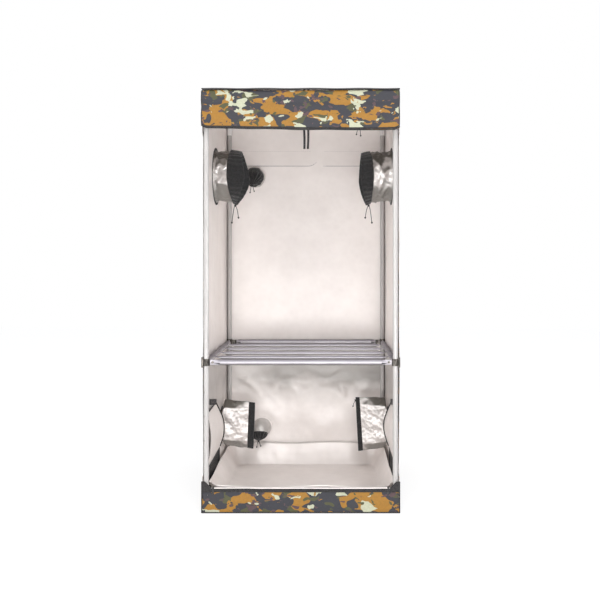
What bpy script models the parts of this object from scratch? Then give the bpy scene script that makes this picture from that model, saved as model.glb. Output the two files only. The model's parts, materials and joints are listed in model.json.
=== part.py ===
# Indoor grow tent: tube frame, sewn cover with rolled-up door, duct sleeves, vents and a slatted shelf.
# Metres, +Z up. The origin is on the floor under the middle of the tent and the door opens at -Y.
# Left is -X and right is +X, as seen from the door.

from math import cos, pi, radians, sin

import bpy
import bmesh
from mathutils import Vector

# Overall size, set by the post axes and the height over the roof cloth
TENT_WIDTH = 0.800
TENT_DEPTH = 0.800
TENT_HEIGHT = 1.790

# Stock that the pieces are made from
TUBE_DIAMETER = 0.022
TUBE_WALL = 0.0012
SHELF_TUBE_DIAMETER = 0.025
BAR_DIAMETER = 0.016
CLOTH = 0.0015
SEAT_GAP = 0.0003
CUT_OVERRUN = 0.004
ROUND_SIDES = 12

# Corner connectors
SOCKET_WALL = 0.0025
SOCKET_LENGTH = 0.045
CORE_EDGE = 0.0003

# Posts in two lengths, the upper one swaged to plug into the lower one
POST_JOINT_HEIGHT = 0.910
SPIGOT_LENGTH = 0.050
SHOULDER_LENGTH = 0.003
POST_HOLE_DIAMETER = 0.0055
POST_HOLE_PITCH = 0.103
FRONT_FIRST_HOLE = 0.303
REAR_FIRST_HOLE = 0.254
POST_HOLE_COUNT = 3

# Shelf
SHELF_HEIGHT = 0.634
SLAT_COUNT = 4
CLAMP_HEIGHT = 0.030
LUG_THICKNESS = 0.0025
LUG_REACH = 0.036
LUG_HEIGHT = 0.022
BOLT_REACH = 0.0266
BOLT_DIAMETER = 0.006
BOLT_HEAD_DIAMETER = 0.011
BOLT_HEAD_HEIGHT = 0.004
BOLT_SIDES = 8
CAP_PLATE_DEPTH = 0.020
CAP_PLATE_WIDTH = 0.021
CAP_PLATE_HEIGHT = 0.043
TAB_THICKNESS = 0.003
TAB_HEIGHT = 0.022
TAB_END_GAP = 0.0013
TAPER_END = 0.058

# Hooked ends of the slats and of the roof bars
HOOK_THICKNESS = 0.0026
HOOK_WIDTH = 0.018
HOOK_START_ANGLE = radians(150)
HOOK_TIP_ANGLE = radians(50)
HOOK_STEPS = 4
HOOK_NECK_REACH = 0.046
HOOK_NECK_GAP = 0.0078
NECK_BEND_SHARE = 0.45
NECK_RISE_SHARES = (0.05, 0.45)
NECK_THICKNESS_SHARES = (0.55, 0.85)
NECK_TILTS = (radians(6), radians(34))
BAR_SIDES = 10

# Roof bars
ROOF_BAR_PLACE = 0.160

# Cover: front sill, corner rise and the bare stretch of the side walls behind the front posts
SILL_HEIGHT = 0.1086
SILL_CORNER_HEIGHT = 0.134
SILL_RISE_LENGTH = 0.036
SILL_BINDING_HEIGHT = 0.020
SILL_BINDING_THICKNESS = 0.004
EDGE_SETBACK = 0.014
EDGE_SLOPE = 0.020

# Door rolled up under the roof edge, placed by its distance under the roof
DOOR_TOP_BELOW_ROOF = 0.179
ROLL_BELOW_ROOF = 0.009
CREASE_BELOW_ROOF = 0.091
ROLL_END_INSET = 0.0023
ROLL_DEPTH = 0.046
ROLL_CREASE_DEPTH = 0.030
ROLL_CORNER = 0.021
ROLL_WAVE = 0.004
ROLL_WAVE_COUNT = 9
ROLL_SWELL_COUNT = 5
ROLL_SWELL_SHARE = 0.06
ROLL_END_SHARE = 0.72
ROLL_STATIONS = 22

# Tie straps that hang behind the rolled door
STRAP_WIDTH = 0.008
STRAP_SPACING = 0.016
STRAP_LEFT_X = 0.0147
STRAP_END_BELOW_ROOF = 0.255
STRAP_BRIDGE = 0.012

# Back wall: sewn band across the top, slack at the bottom
BAND_BELOW_ROOF = 0.154
BAND_HEIGHT = 0.079
BAND_RAISE = 0.004
BAND_EDGE = 0.006
BAND_LEFT_MARGIN = 0.0473
BAND_LEFT_END = 0.031
BAND_RIGHT_START = 0.084
BAND_RIGHT_MARGIN = 0.0373
SLACK_DEPTH = 0.028
SLACK_BOTTOM = 0.040
SLACK_TOP = 0.400
SLACK_LEFT_MARGIN = 0.2963
SLACK_RIGHT_MARGIN = 0.0763

# Duct sleeves, sewn into round holes of the cover
HEM_WIDTH = 0.010
HEM_THICKNESS = 0.002
SIDE_SLEEVE_DIAMETER = 0.250
SIDE_SLEEVE_LENGTH = 0.146
SIDE_SLEEVE_BELOW_ROOF = 0.330
SIDE_SLEEVE_DROP = 0.014
CUFF_START_SHARES = {"left": 0.41, "right": 0.59}
LOW_SLEEVE_DIAMETER = 0.150
LOW_SLEEVE_LENGTH = 0.165
LOW_SLEEVE_HEIGHT = 0.245
LOW_SLEEVE_FROM_BACK = 0.2148
LOW_SLEEVE_MOUTH = 0.026
PORT_DIAMETER = 0.098
PORT_HEM_WIDTH = 0.006
PORT_LENGTH = 0.078
PORT_DROP = 0.022
PORT_GATHER = 0.012
HIGH_PORT_FROM_SIDE = 0.1503
HIGH_PORT_BELOW_ROOF = 0.2955
LOW_PORT_FROM_SIDE = 0.1838
LOW_PORT_HEIGHT = 0.184
ROOF_SLEEVE_DIAMETER = 0.150
ROOF_SLEEVE_LENGTH = 0.090
ROOF_SLEEVE_FROM_SIDE = 0.1528
SLEEVE_SIDES = 16

# Side vents: a low mesh window whose cloth flap is folded up against the wall
VENT_FRONT_MARGIN = 0.140
VENT_BOTTOM = 0.035
VENT_TOP = 0.146
MESH_RECESS = 0.0005
FLAP_SEAM = 0.010
FLAP_LENGTH = 0.240
FLAP_BOW = 0.030
FLAP_TOP_WIDTH = 0.240
FLAP_FRONT_BOW_SHARE = 0.45
FLAP_STATIONS = 8

# Spill tray of the same sheet, with sloping sides
TRAY_HEIGHT = 0.104
TRAY_FLOOR_INSET = 0.048
TRAY_RIM_INSET = 0.0170
TRAY_SHEET = 0.0012
TRAY_CORNER = 0.040
TRAY_ARC_POINTS = 4
TRAY_SIDE_POINTS = 5
TRAY_WAVE = 0.004
TRAY_WAVE_COUNT = 7
TRAY_KNEE_HEIGHT_SHARE = 0.45
TRAY_KNEE_INSET_SHARE = 0.55

# Zip sliders on the bound edge of the sill
SLIDER_FROM_CORNER = 0.031
SLIDER_WIDTH = 0.009
SLIDER_WALL = 0.0022
SLIDER_HEIGHT = 0.010
SLIDER_PULL = 0.028

# Drawcord ends at the mouths of the two large sleeves
CORD_DIAMETER = 0.003
CORD_STEP = 0.0075
CORD_LONG_END = 0.085
CORD_SHORT_END = 0.062
CORD_SPREAD = 0.016
CORD_LOOP = 0.0045
CORD_KNOT_DROP = 0.009
CORD_BEND_SHARES = (0.45, 0.50)

# Worked out from the sizes above
HALF_WIDTH = TENT_WIDTH / 2
HALF_DEPTH = TENT_DEPTH / 2
TUBE_RADIUS = TUBE_DIAMETER / 2
SHELF_TUBE_RADIUS = SHELF_TUBE_DIAMETER / 2
BAR_RADIUS = BAR_DIAMETER / 2
FACET_HALF_ANGLE = pi / ROUND_SIDES
SOCKET_BORE = (TUBE_RADIUS + SEAT_GAP) / cos(FACET_HALF_ANGLE)
SOCKET_RADIUS = SOCKET_BORE + SOCKET_WALL
CORE_HALF = SOCKET_RADIUS + CORE_EDGE
BASE_Z = CLOTH + SEAT_GAP + CORE_HALF
TOP_Z = TENT_HEIGHT - CLOTH - SEAT_GAP - CORE_HALF
WALL_OFFSET = CORE_HALF + SEAT_GAP
INNER_X = HALF_WIDTH + WALL_OFFSET
INNER_Y = HALF_DEPTH + WALL_OFFSET
OUTER_X = INNER_X + CLOTH
OUTER_Y = INNER_Y + CLOTH
WALL_BOTTOM = CLOTH + SEAT_GAP
WALL_TOP = TENT_HEIGHT - CLOTH - SEAT_GAP
BINDING_BULGE = (SILL_BINDING_THICKNESS - CLOTH) / 2
SIDE_FRONT = -INNER_Y + SEAT_GAP + BINDING_BULGE
DOOR_TOP = TENT_HEIGHT - DOOR_TOP_BELOW_ROOF
ROLL_TOP = TENT_HEIGHT - ROLL_BELOW_ROOF
ROLL_CREASE = TENT_HEIGHT - CREASE_BELOW_ROOF
ROLL_HALF_LENGTH = OUTER_X - ROLL_END_INSET
STRAP_END = TENT_HEIGHT - STRAP_END_BELOW_ROOF
BAND_TOP = TENT_HEIGHT - BAND_BELOW_ROOF
BAND_BOTTOM = BAND_TOP - BAND_HEIGHT
BAND_LEFT_START = -OUTER_X + BAND_LEFT_MARGIN
BAND_RIGHT_END = OUTER_X - BAND_RIGHT_MARGIN
SLACK_LEFT = -OUTER_X + SLACK_LEFT_MARGIN
SLACK_RIGHT = OUTER_X - SLACK_RIGHT_MARGIN
SIDE_SLEEVE_HEIGHT = TENT_HEIGHT - SIDE_SLEEVE_BELOW_ROOF
LOW_SLEEVE_Y = INNER_Y - LOW_SLEEVE_FROM_BACK
HIGH_PORT_X = -INNER_X + HIGH_PORT_FROM_SIDE
HIGH_PORT_HEIGHT = TENT_HEIGHT - HIGH_PORT_BELOW_ROOF
LOW_PORT_X = -INNER_X + LOW_PORT_FROM_SIDE
ROOF_SLEEVE_X = INNER_X - ROOF_SLEEVE_FROM_SIDE
VENT_FRONT = -HALF_DEPTH + VENT_FRONT_MARGIN
VENT_REAR = LOW_SLEEVE_Y - LOW_SLEEVE_DIAMETER / 2 - HEM_WIDTH
SLIDER_X = HALF_WIDTH - SLIDER_FROM_CORNER
SLAT_PITCH = TENT_DEPTH / (SLAT_COUNT + 1)

AXIS_X = Vector((1, 0, 0))
AXIS_Y = Vector((0, 1, 0))
AXIS_Z = Vector((0, 0, 1))

# Materials: base colour, roughness, metallic
FINISHES = {
    "painted_tube": ((0.86, 0.83, 0.82), 0.35, 0.2),
    "shelf_metal": ((0.74, 0.73, 0.77), 0.35, 0.5),
    "white_plastic": ((0.80, 0.78, 0.77), 0.5, 0.0),
    "black_plastic": ((0.03, 0.03, 0.035), 0.5, 0.0),
    "clamp_metal": ((0.16, 0.15, 0.15), 0.4, 0.6),
    "lined_cloth": ((0.77, 0.74, 0.73), 0.4, 0.3),
    "camouflage_cloth": ((0.36, 0.29, 0.17), 0.8, 0.0),
    "silver_film": ((0.72, 0.70, 0.69), 0.3, 0.6),
    "black_tape": ((0.04, 0.035, 0.035), 0.85, 0.0),
    "tray_sheet": ((0.74, 0.71, 0.70), 0.4, 0.3),
}


# Scene and material helpers


def clear_scene():
    for item in list(bpy.data.objects):
        bpy.data.objects.remove(item)


def material_for(piece_name, finish):
    colour, roughness, metallic = FINISHES[finish]
    material = bpy.data.materials.new(piece_name)
    material.use_nodes = True
    shader = material.node_tree.nodes["Principled BSDF"]
    shader.inputs["Base Color"].default_value = (*colour, 1)
    shader.inputs["Roughness"].default_value = roughness
    shader.inputs["Metallic"].default_value = metallic
    return material


def add_piece(name, solid, finish, origin=Vector((0, 0, 0)), parent=None):
    mesh = bpy.data.meshes.new(name)
    bmesh.ops.recalc_face_normals(solid, faces=solid.faces[:])
    bmesh.ops.translate(solid, verts=solid.verts[:], vec=-origin)
    solid.to_mesh(mesh)
    solid.free()
    mesh.shade_smooth()
    mesh.set_sharp_from_angle(angle=radians(40))
    piece = bpy.data.objects.new(name, mesh)
    bpy.context.collection.objects.link(piece)
    piece.parent = parent
    piece.location = origin - (parent.location if parent else Vector((0, 0, 0)))
    if finish:
        mesh.materials.append(material_for(name, finish))
    return piece


def add_helper(name, solid):
    helper = add_piece(name, solid, None)
    helper.hide_render = True
    helper.display_type = "WIRE"
    return helper


def combine(piece, operation, helper):
    step = piece.modifiers.new(helper.name, "BOOLEAN")
    step.operation = operation
    step.solver = "EXACT"
    step.object = helper


def add_axis(name, place):
    axis = bpy.data.objects.new(name, None)
    bpy.context.collection.objects.link(axis)
    axis.location = place
    return axis


# Shape helpers


def across(direction):
    if abs(direction.z) > abs(direction.x) + abs(direction.y):
        return AXIS_X, AXIS_Y
    side = AXIS_Z.cross(direction).normalized()
    return side, AXIS_Z


def oval(centre, u, v, reach_u, reach_v, sides=ROUND_SIDES):
    points = []
    for i in range(sides):
        angle = (i + 0.5) * 2 * pi / sides
        points.append(centre + u * (reach_u * cos(angle)) + v * (reach_v * sin(angle)))
    return points


def bridge(solid, first, second):
    for i in range(len(first)):
        j = (i + 1) % len(first)
        solid.faces.new((first[i], first[j], second[j], second[i]))


def loft(rings, bored=False):
    solid = bmesh.new()
    loops = [[solid.verts.new(point) for point in ring] for ring in rings]
    for first, second in zip(loops, loops[1:]):
        bridge(solid, first, second)
    if bored:
        bridge(solid, loops[-1], loops[0])
    else:
        solid.faces.new(loops[0])
        solid.faces.new(loops[-1])
    return solid


def straight_tube(start, end, radius, wall):
    u, v = across((end - start).normalized())
    outer = [oval(start, u, v, radius, radius), oval(end, u, v, radius, radius)]
    inner = [oval(end, u, v, radius - wall, radius - wall), oval(start, u, v, radius - wall, radius - wall)]
    return loft(outer + inner, bored=True)


def solid_rod(start, end, radius, sides=ROUND_SIDES):
    u, v = across((end - start).normalized())
    return loft([oval(start, u, v, radius, radius, sides), oval(end, u, v, radius, radius, sides)])


def block(low, high):
    solid = bmesh.new()
    bmesh.ops.create_cube(solid, size=1)
    for vert in solid.verts:
        share = vert.co + Vector((0.5, 0.5, 0.5))
        vert.co = Vector([low[i] + (high[i] - low[i]) * share[i] for i in range(3)])
    return solid


def block_between(corner, opposite):
    low = [min(corner[i], opposite[i]) for i in range(3)]
    high = [max(corner[i], opposite[i]) for i in range(3)]
    return block(low, high)


def prism(outline, direction, length):
    first = [Vector(point) - direction * (length / 2) for point in outline]
    second = [Vector(point) + direction * (length / 2) for point in outline]
    return loft([first, second])


def cloth_panel(columns, rows, place, offset):
    solid = bmesh.new()
    near = [[solid.verts.new(place(s, t)) for s in columns] for t in rows]
    far = [[solid.verts.new(place(s, t) + offset) for s in columns] for t in rows]
    for sheet in (near, far):
        for r in range(len(rows) - 1):
            for c in range(len(columns) - 1):
                solid.faces.new((sheet[r][c], sheet[r][c + 1], sheet[r + 1][c + 1], sheet[r + 1][c]))
    rim_near = border(near)
    rim_far = border(far)
    bridge(solid, rim_near, rim_far)
    return solid


def border(grid):
    bottom = grid[0][:-1]
    right = [row[-1] for row in grid[:-1]]
    top = grid[-1][:0:-1]
    left = [row[0] for row in grid[:0:-1]]
    return bottom + right + top + left


def spread(low, high, steps):
    return [low + (high - low) * i / steps for i in range(steps + 1)]


def ease(share):
    share = min(1.0, max(0.0, share))
    return share * share * (3 - 2 * share)


def plateau(value, low, high, edge):
    return min(ease((value - low) / edge), ease((high - value) / edge))


def hump(value, low, high):
    share = min(1.0, max(0.0, (value - low) / (high - low)))
    return sin(pi * share) ** 2


# Tube frame


def socket_face(solid, known, direction, hollow):
    u, v = across(direction)
    outline = []
    for i in range(ROUND_SIDES):
        angle = (i + 0.5) * 2 * pi / ROUND_SIDES
        reach = CORE_HALF / max(abs(cos(angle)), abs(sin(angle)))
        point = direction * CORE_HALF + u * (reach * cos(angle)) + v * (reach * sin(angle))
        key = tuple(round(value / CORE_EDGE) for value in point)
        if key not in known:
            known[key] = solid.verts.new(point)
        outline.append(known[key])
    if not hollow:
        solid.faces.new(outline)
        return
    mouth = direction * (CORE_HALF + SOCKET_LENGTH)
    rings = [
        oval(direction * CORE_HALF, u, v, SOCKET_RADIUS, SOCKET_RADIUS),
        oval(mouth, u, v, SOCKET_RADIUS, SOCKET_RADIUS),
        oval(mouth, u, v, SOCKET_BORE, SOCKET_BORE),
        oval(direction * CORE_HALF, u, v, SOCKET_BORE, SOCKET_BORE),
    ]
    loops = [outline] + [[solid.verts.new(point) for point in ring] for ring in rings]
    for first, second in zip(loops, loops[1:]):
        bridge(solid, first, second)
    solid.faces.new(loops[-1])


def corner_connector(name, side_x, side_y, height, up):
    solid = bmesh.new()
    arms = [AXIS_X * -side_x, AXIS_Y * -side_y, AXIS_Z * up]
    known = {}
    for direction in arms:
        socket_face(solid, known, direction, True)
        socket_face(solid, known, -direction, False)
    centre = Vector((side_x * HALF_WIDTH, side_y * HALF_DEPTH, height))
    bmesh.ops.translate(solid, verts=solid.verts[:], vec=centre)
    add_piece(name, solid, "white_plastic")


def lower_post(name, side_x, side_y, first_hole):
    axis = Vector((side_x * HALF_WIDTH, side_y * HALF_DEPTH, 0))
    start = axis + AXIS_Z * (BASE_Z + CORE_HALF + SEAT_GAP)
    end = axis + AXIS_Z * POST_JOINT_HEIGHT
    post = add_piece(name, straight_tube(start, end, TUBE_RADIUS, TUBE_WALL), "painted_tube")
    outward = Vector((side_x, side_y, 0)).normalized()
    for i in range(POST_HOLE_COUNT):
        centre = axis + AXIS_Z * (first_hole + i * POST_HOLE_PITCH)
        reach = outward * (TUBE_RADIUS + CUT_OVERRUN)
        inside = centre + outward * CUT_OVERRUN
        drill = solid_rod(inside, centre + reach, POST_HOLE_DIAMETER / 2, BOLT_SIDES)
        combine(post, "DIFFERENCE", add_helper(f"{name}_drill_{i}", drill))


def upper_post(name, side_x, side_y):
    axis = Vector((side_x * HALF_WIDTH, side_y * HALF_DEPTH, 0))
    seat = POST_JOINT_HEIGHT + SEAT_GAP
    spigot = TUBE_RADIUS - TUBE_WALL - SEAT_GAP / cos(FACET_HALF_ANGLE)
    top = TOP_Z - CORE_HALF - SEAT_GAP
    profile = [
        (spigot, seat - SPIGOT_LENGTH),
        (spigot, seat),
        (TUBE_RADIUS, seat),
        (TUBE_RADIUS, top),
        (TUBE_RADIUS - TUBE_WALL, top),
        (TUBE_RADIUS - TUBE_WALL, seat + SHOULDER_LENGTH),
        (spigot - TUBE_WALL, seat),
        (spigot - TUBE_WALL, seat - SPIGOT_LENGTH),
    ]
    rings = [oval(axis + AXIS_Z * z, AXIS_X, AXIS_Y, radius, radius) for radius, z in profile]
    add_piece(name, loft(rings, bored=True), "painted_tube")


def frame_rail(name, start, end):
    inset = (end - start).normalized() * (CORE_HALF + SEAT_GAP)
    add_piece(name, straight_tube(start + inset, end - inset, TUBE_RADIUS, TUBE_WALL), "painted_tube")


def frame_ring(level, height):
    left, right, front, rear = -HALF_WIDTH, HALF_WIDTH, -HALF_DEPTH, HALF_DEPTH
    ends = {
        "front": ((left, front), (right, front)),
        "rear": ((left, rear), (right, rear)),
        "left": ((left, front), (left, rear)),
        "right": ((right, front), (right, rear)),
    }
    for side, (start, end) in ends.items():
        frame_rail(f"{level}_rail_{side}", Vector((*start, height)), Vector((*end, height)))


def post_places():
    for row, side_y in (("front", -1), ("rear", 1)):
        for side, side_x in (("left", -1), ("right", 1)):
            yield f"{row}_{side}", side_x, side_y


def build_frame():
    for place, side_x, side_y in post_places():
        first_hole = FRONT_FIRST_HOLE if side_y < 0 else REAR_FIRST_HOLE
        lower_post(f"lower_post_{place}", side_x, side_y, first_hole)
        upper_post(f"upper_post_{place}", side_x, side_y)
        corner_connector(f"base_corner_{place}", side_x, side_y, BASE_Z, 1)
        corner_connector(f"top_corner_{place}", side_x, side_y, TOP_Z, -1)
    frame_ring("base", BASE_Z)
    frame_ring("top", TOP_Z)


# Slats and roof bars, flattened at each end into a hook that rides over a rail


def hook_sections(rail_radius, bar_radius):
    step = (HOOK_START_ANGLE - HOOK_TIP_ANGLE) / HOOK_STEPS
    inside = (rail_radius + SEAT_GAP) / cos(step / 2)
    middle = inside + HOOK_THICKNESS / 2
    half_width = HOOK_WIDTH / 2
    half_thickness = HOOK_THICKNESS / 2
    start = Vector((-middle * cos(pi - HOOK_START_ANGLE), middle * sin(pi - HOOK_START_ANGLE)))
    neck = start.x - HOOK_NECK_GAP
    bend = (HOOK_NECK_REACH + neck) * NECK_BEND_SHARE
    rises = [start.y * share for share in NECK_RISE_SHARES]
    thin, thinner = bar_radius * NECK_THICKNESS_SHARES[0], HOOK_THICKNESS * NECK_THICKNESS_SHARES[1]
    sections = [
        (Vector((-HOOK_NECK_REACH, 0)), 0, bar_radius, bar_radius),
        (Vector((neck - bend, rises[0])), NECK_TILTS[0], (bar_radius + half_width) / 2, thin),
        (Vector((neck, rises[1])), NECK_TILTS[1], half_width, thinner),
    ]
    for i in range(HOOK_STEPS + 1):
        angle = HOOK_START_ANGLE - step * i
        centre = Vector((middle * cos(angle), middle * sin(angle)))
        sections.append((centre, angle - pi / 2, half_width, half_thickness))
    return sections


def hooked_bar(name, y, z, rail_radius, finish, parent=None):
    rings = []
    sections = hook_sections(rail_radius, BAR_RADIUS)
    for side, ordered in ((-1, reversed(sections)), (1, sections)):
        for centre, tilt, reach_y, reach_n in ordered:
            normal = Vector((-side * sin(tilt), 0, cos(tilt)))
            place = Vector((side * (HALF_WIDTH + centre.x), y, z + centre.y))
            rings.append(oval(place, AXIS_Y, normal, reach_y, reach_n, BAR_SIDES))
    add_piece(name, loft(rings), finish, Vector((0, y, z)), parent)


def build_roof_bars():
    for place, side_y in (("front", -1), ("rear", 1)):
        hooked_bar(f"roof_bar_{place}", side_y * ROOF_BAR_PLACE, TOP_Z, TUBE_RADIUS, "painted_tube")


# Shelf: four tubes with flattened ends, bolted to a clamp on each post, and the slats across


def shelf_rail(name, start, end, flat_across, parent):
    along = (end - start).normalized()
    tab_start = SOCKET_RADIUS + TAB_END_GAP
    wide = SHELF_TUBE_RADIUS
    stations = [
        (tab_start, TAB_HEIGHT / 2, TAB_THICKNESS / 2),
        (LUG_REACH, TAB_HEIGHT / 2, TAB_THICKNESS / 2),
        (TAPER_END, wide, wide),
    ]
    ends = [(start + along * s, tall, thick) for s, tall, thick in stations]
    ends += [(end - along * s, tall, thick) for s, tall, thick in reversed(stations)]
    outer = [oval(place, flat_across, AXIS_Z, thick, tall) for place, tall, thick in ends]
    bore = [(place, tall - TUBE_WALL, thick - TUBE_WALL) for place, tall, thick in ends]
    inner = [oval(place, flat_across, AXIS_Z, thick, tall) for place, tall, thick in bore]
    rail = add_piece(name, loft(outer + inner[::-1], bored=True), "shelf_metal", parent.location, parent)
    for i, (post, toward) in enumerate(((start, along), (end, -along))):
        centre = post + toward * BOLT_REACH
        reach = flat_across * (TAB_THICKNESS + CUT_OVERRUN)
        drill = solid_rod(centre - reach, centre + reach, BOLT_DIAMETER / 2 + SEAT_GAP, BOLT_SIDES)
        combine(rail, "DIFFERENCE", add_helper(f"{name}_drill_{i}", drill))


def clamp_lug(name, clamp, centre, along, behind):
    face = TAB_THICKNESS / 2 + SEAT_GAP
    root = (SOCKET_BORE + SOCKET_RADIUS) / 2
    low = centre + along * root + behind * face - AXIS_Z * (LUG_HEIGHT / 2)
    high = centre + along * LUG_REACH + behind * (face + LUG_THICKNESS) + AXIS_Z * (LUG_HEIGHT / 2)
    combine(clamp, "UNION", add_helper(f"{name}_lug", block_between(low, high)))
    bolt_centre = centre + along * BOLT_REACH
    u, v = across(behind)
    profile = [
        (face + LUG_THICKNESS / 2, BOLT_DIAMETER / 2),
        (-face, BOLT_DIAMETER / 2),
        (-face, BOLT_HEAD_DIAMETER / 2),
        (-face - BOLT_HEAD_HEIGHT, BOLT_HEAD_DIAMETER / 2),
    ]
    rings = [oval(bolt_centre + behind * depth, u, v, radius, radius, BOLT_SIDES) for depth, radius in profile]
    combine(clamp, "UNION", add_helper(f"{name}_bolt", loft(rings)))


def post_clamp(name, side_x, side_y, parent):
    centre = Vector((side_x * HALF_WIDTH, side_y * HALF_DEPTH, SHELF_HEIGHT))
    rise = AXIS_Z * (CLAMP_HEIGHT / 2)
    collar = straight_tube(centre - rise, centre + rise, SOCKET_RADIUS, SOCKET_WALL)
    clamp = add_piece(name, collar, "clamp_metal", parent.location, parent)
    inward_x = AXIS_X * -side_x
    inward_y = AXIS_Y * -side_y
    clamp_lug(f"{name}_x", clamp, centre, inward_x, inward_y)
    clamp_lug(f"{name}_y", clamp, centre, inward_y, -inward_x)
    if side_y < 0:
        near = centre - inward_x * (SOCKET_BORE + SOCKET_RADIUS) / 2
        far = centre - inward_x * CAP_PLATE_DEPTH
        half = AXIS_Y * (CAP_PLATE_WIDTH / 2) + AXIS_Z * (CAP_PLATE_HEIGHT / 2)
        combine(clamp, "UNION", add_helper(f"{name}_cap", block_between(near - half, far + half)))


def build_shelf():
    shelf = add_axis("shelf_slide", Vector((0, 0, SHELF_HEIGHT)))
    for place, side_x, side_y in post_places():
        post_clamp(f"post_clamp_{place}", side_x, side_y, shelf)
    for row, side_y in (("front", -1), ("rear", 1)):
        y = side_y * HALF_DEPTH
        start, end = Vector((-HALF_WIDTH, y, SHELF_HEIGHT)), Vector((HALF_WIDTH, y, SHELF_HEIGHT))
        shelf_rail(f"shelf_rail_{row}", start, end, AXIS_Y, shelf)
    for side, side_x in (("left", -1), ("right", 1)):
        x = side_x * HALF_WIDTH
        start, end = Vector((x, -HALF_DEPTH, SHELF_HEIGHT)), Vector((x, HALF_DEPTH, SHELF_HEIGHT))
        shelf_rail(f"shelf_rail_{side}", start, end, AXIS_X, shelf)
    for i in range(SLAT_COUNT):
        y = (i - (SLAT_COUNT - 1) / 2) * SLAT_PITCH
        hooked_bar(f"shelf_slat_{i + 1}", y, SHELF_HEIGHT, SHELF_TUBE_RADIUS, "shelf_metal", shelf)


# Cover panels


def side_edge(z):
    bare_low = ease((z - SILL_CORNER_HEIGHT) / EDGE_SLOPE)
    bare_high = ease((DOOR_TOP - z) / EDGE_SLOPE)
    setback = EDGE_SETBACK - HALF_DEPTH - SIDE_FRONT
    return SIDE_FRONT + setback * min(bare_low, bare_high)


def side_wall(name, side_x):
    rows = [WALL_BOTTOM, SILL_CORNER_HEIGHT, SILL_CORNER_HEIGHT + EDGE_SLOPE / 2]
    rows += spread(SILL_CORNER_HEIGHT + EDGE_SLOPE, DOOR_TOP - EDGE_SLOPE, 6)
    rows += [DOOR_TOP - EDGE_SLOPE / 2, DOOR_TOP, WALL_TOP]

    def place(share, z):
        front = side_edge(z)
        return Vector((side_x * INNER_X, front + (INNER_Y - SEAT_GAP - front) * share, z))

    solid = cloth_panel(spread(0, 1, 8), rows, place, AXIS_X * (side_x * CLOTH))
    wall = add_piece(name, solid, "lined_cloth")
    high = Vector((side_x * INNER_X, 0, SIDE_SLEEVE_HEIGHT))
    low = Vector((side_x * INNER_X, LOW_SLEEVE_Y, LOW_SLEEVE_HEIGHT))
    cut_round_hole(wall, high, AXIS_X, SIDE_SLEEVE_DIAMETER)
    cut_round_hole(wall, low, AXIS_X, LOW_SLEEVE_DIAMETER)
    front_foot = Vector((side_x * (INNER_X - CUT_OVERRUN), VENT_FRONT, VENT_BOTTOM))
    rear_head = Vector((side_x * (INNER_X + MESH_RECESS), VENT_REAR, VENT_TOP))
    recess = block_between(front_foot, rear_head)
    combine(wall, "DIFFERENCE", add_helper(f"{name}_vent", recess))


def cut_round_hole(wall, centre, direction, diameter):
    u, v = across(direction)
    radius = diameter / 2 + SEAT_GAP / cos(pi / SLEEVE_SIDES)
    reach = direction * (CLOTH + CUT_OVERRUN)
    rings = [oval(centre - reach, u, v, radius, radius, SLEEVE_SIDES)]
    rings.append(oval(centre + reach, u, v, radius, radius, SLEEVE_SIDES))
    helper = add_helper(f"{wall.name}_hole_{len(wall.modifiers)}", loft(rings))
    combine(wall, "DIFFERENCE", helper)


def back_wall_depth(x, z):
    slack = SLACK_DEPTH * hump(z, SLACK_BOTTOM, SLACK_TOP) * hump(x, SLACK_LEFT, SLACK_RIGHT)
    upright = plateau(z, BAND_BOTTOM - BAND_EDGE, BAND_TOP + BAND_EDGE, BAND_EDGE)
    left = plateau(x, BAND_LEFT_START, BAND_LEFT_END, BAND_EDGE)
    right = plateau(x, BAND_RIGHT_START, BAND_RIGHT_END, BAND_EDGE)
    return slack + BAND_RAISE * upright * max(left, right)


def build_back_wall():
    columns = [-OUTER_X, BAND_LEFT_START, BAND_LEFT_START + BAND_EDGE]
    columns += spread(SLACK_LEFT, BAND_LEFT_END - BAND_EDGE, 3)
    columns += [BAND_LEFT_END, BAND_RIGHT_START, BAND_RIGHT_START + BAND_EDGE]
    columns += spread(BAND_RIGHT_START + BAND_EDGE, SLACK_RIGHT, 5)[1:]
    columns += [BAND_RIGHT_END - BAND_EDGE, BAND_RIGHT_END, OUTER_X]
    rows = [WALL_BOTTOM] + spread(SLACK_BOTTOM, SLACK_TOP, 8) + [POST_JOINT_HEIGHT]
    rows += [BAND_BOTTOM - BAND_EDGE, BAND_BOTTOM, BAND_TOP, BAND_TOP + BAND_EDGE, WALL_TOP]

    def place(x, z):
        return Vector((x, INNER_Y - back_wall_depth(x, z), z))

    wall = add_piece("back_wall", cloth_panel(columns, rows, place, AXIS_Y * CLOTH), "lined_cloth")
    cut_round_hole(wall, Vector((HIGH_PORT_X, INNER_Y, HIGH_PORT_HEIGHT)), AXIS_Y, PORT_DIAMETER)
    cut_round_hole(wall, Vector((LOW_PORT_X, INNER_Y, LOW_PORT_HEIGHT)), AXIS_Y, PORT_DIAMETER)


def build_floor_and_roof():
    floor = block(Vector((-OUTER_X, -OUTER_Y, 0)), Vector((OUTER_X, OUTER_Y, CLOTH)))
    add_piece("floor_panel", floor, "camouflage_cloth")
    roof = block(Vector((-OUTER_X, -OUTER_Y, TENT_HEIGHT - CLOTH)), Vector((OUTER_X, OUTER_Y, TENT_HEIGHT)))
    panel = add_piece("roof_panel", roof, "lined_cloth")
    cut_round_hole(panel, Vector((ROOF_SLEEVE_X, 0, TENT_HEIGHT - CLOTH)), AXIS_Z, ROOF_SLEEVE_DIAMETER)


def sill_top(x):
    straight = HALF_WIDTH + TUBE_RADIUS - SILL_RISE_LENGTH
    rise = ease((abs(x) - straight) / SILL_RISE_LENGTH)
    return SILL_HEIGHT + (SILL_CORNER_HEIGHT - SILL_HEIGHT) * rise


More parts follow.
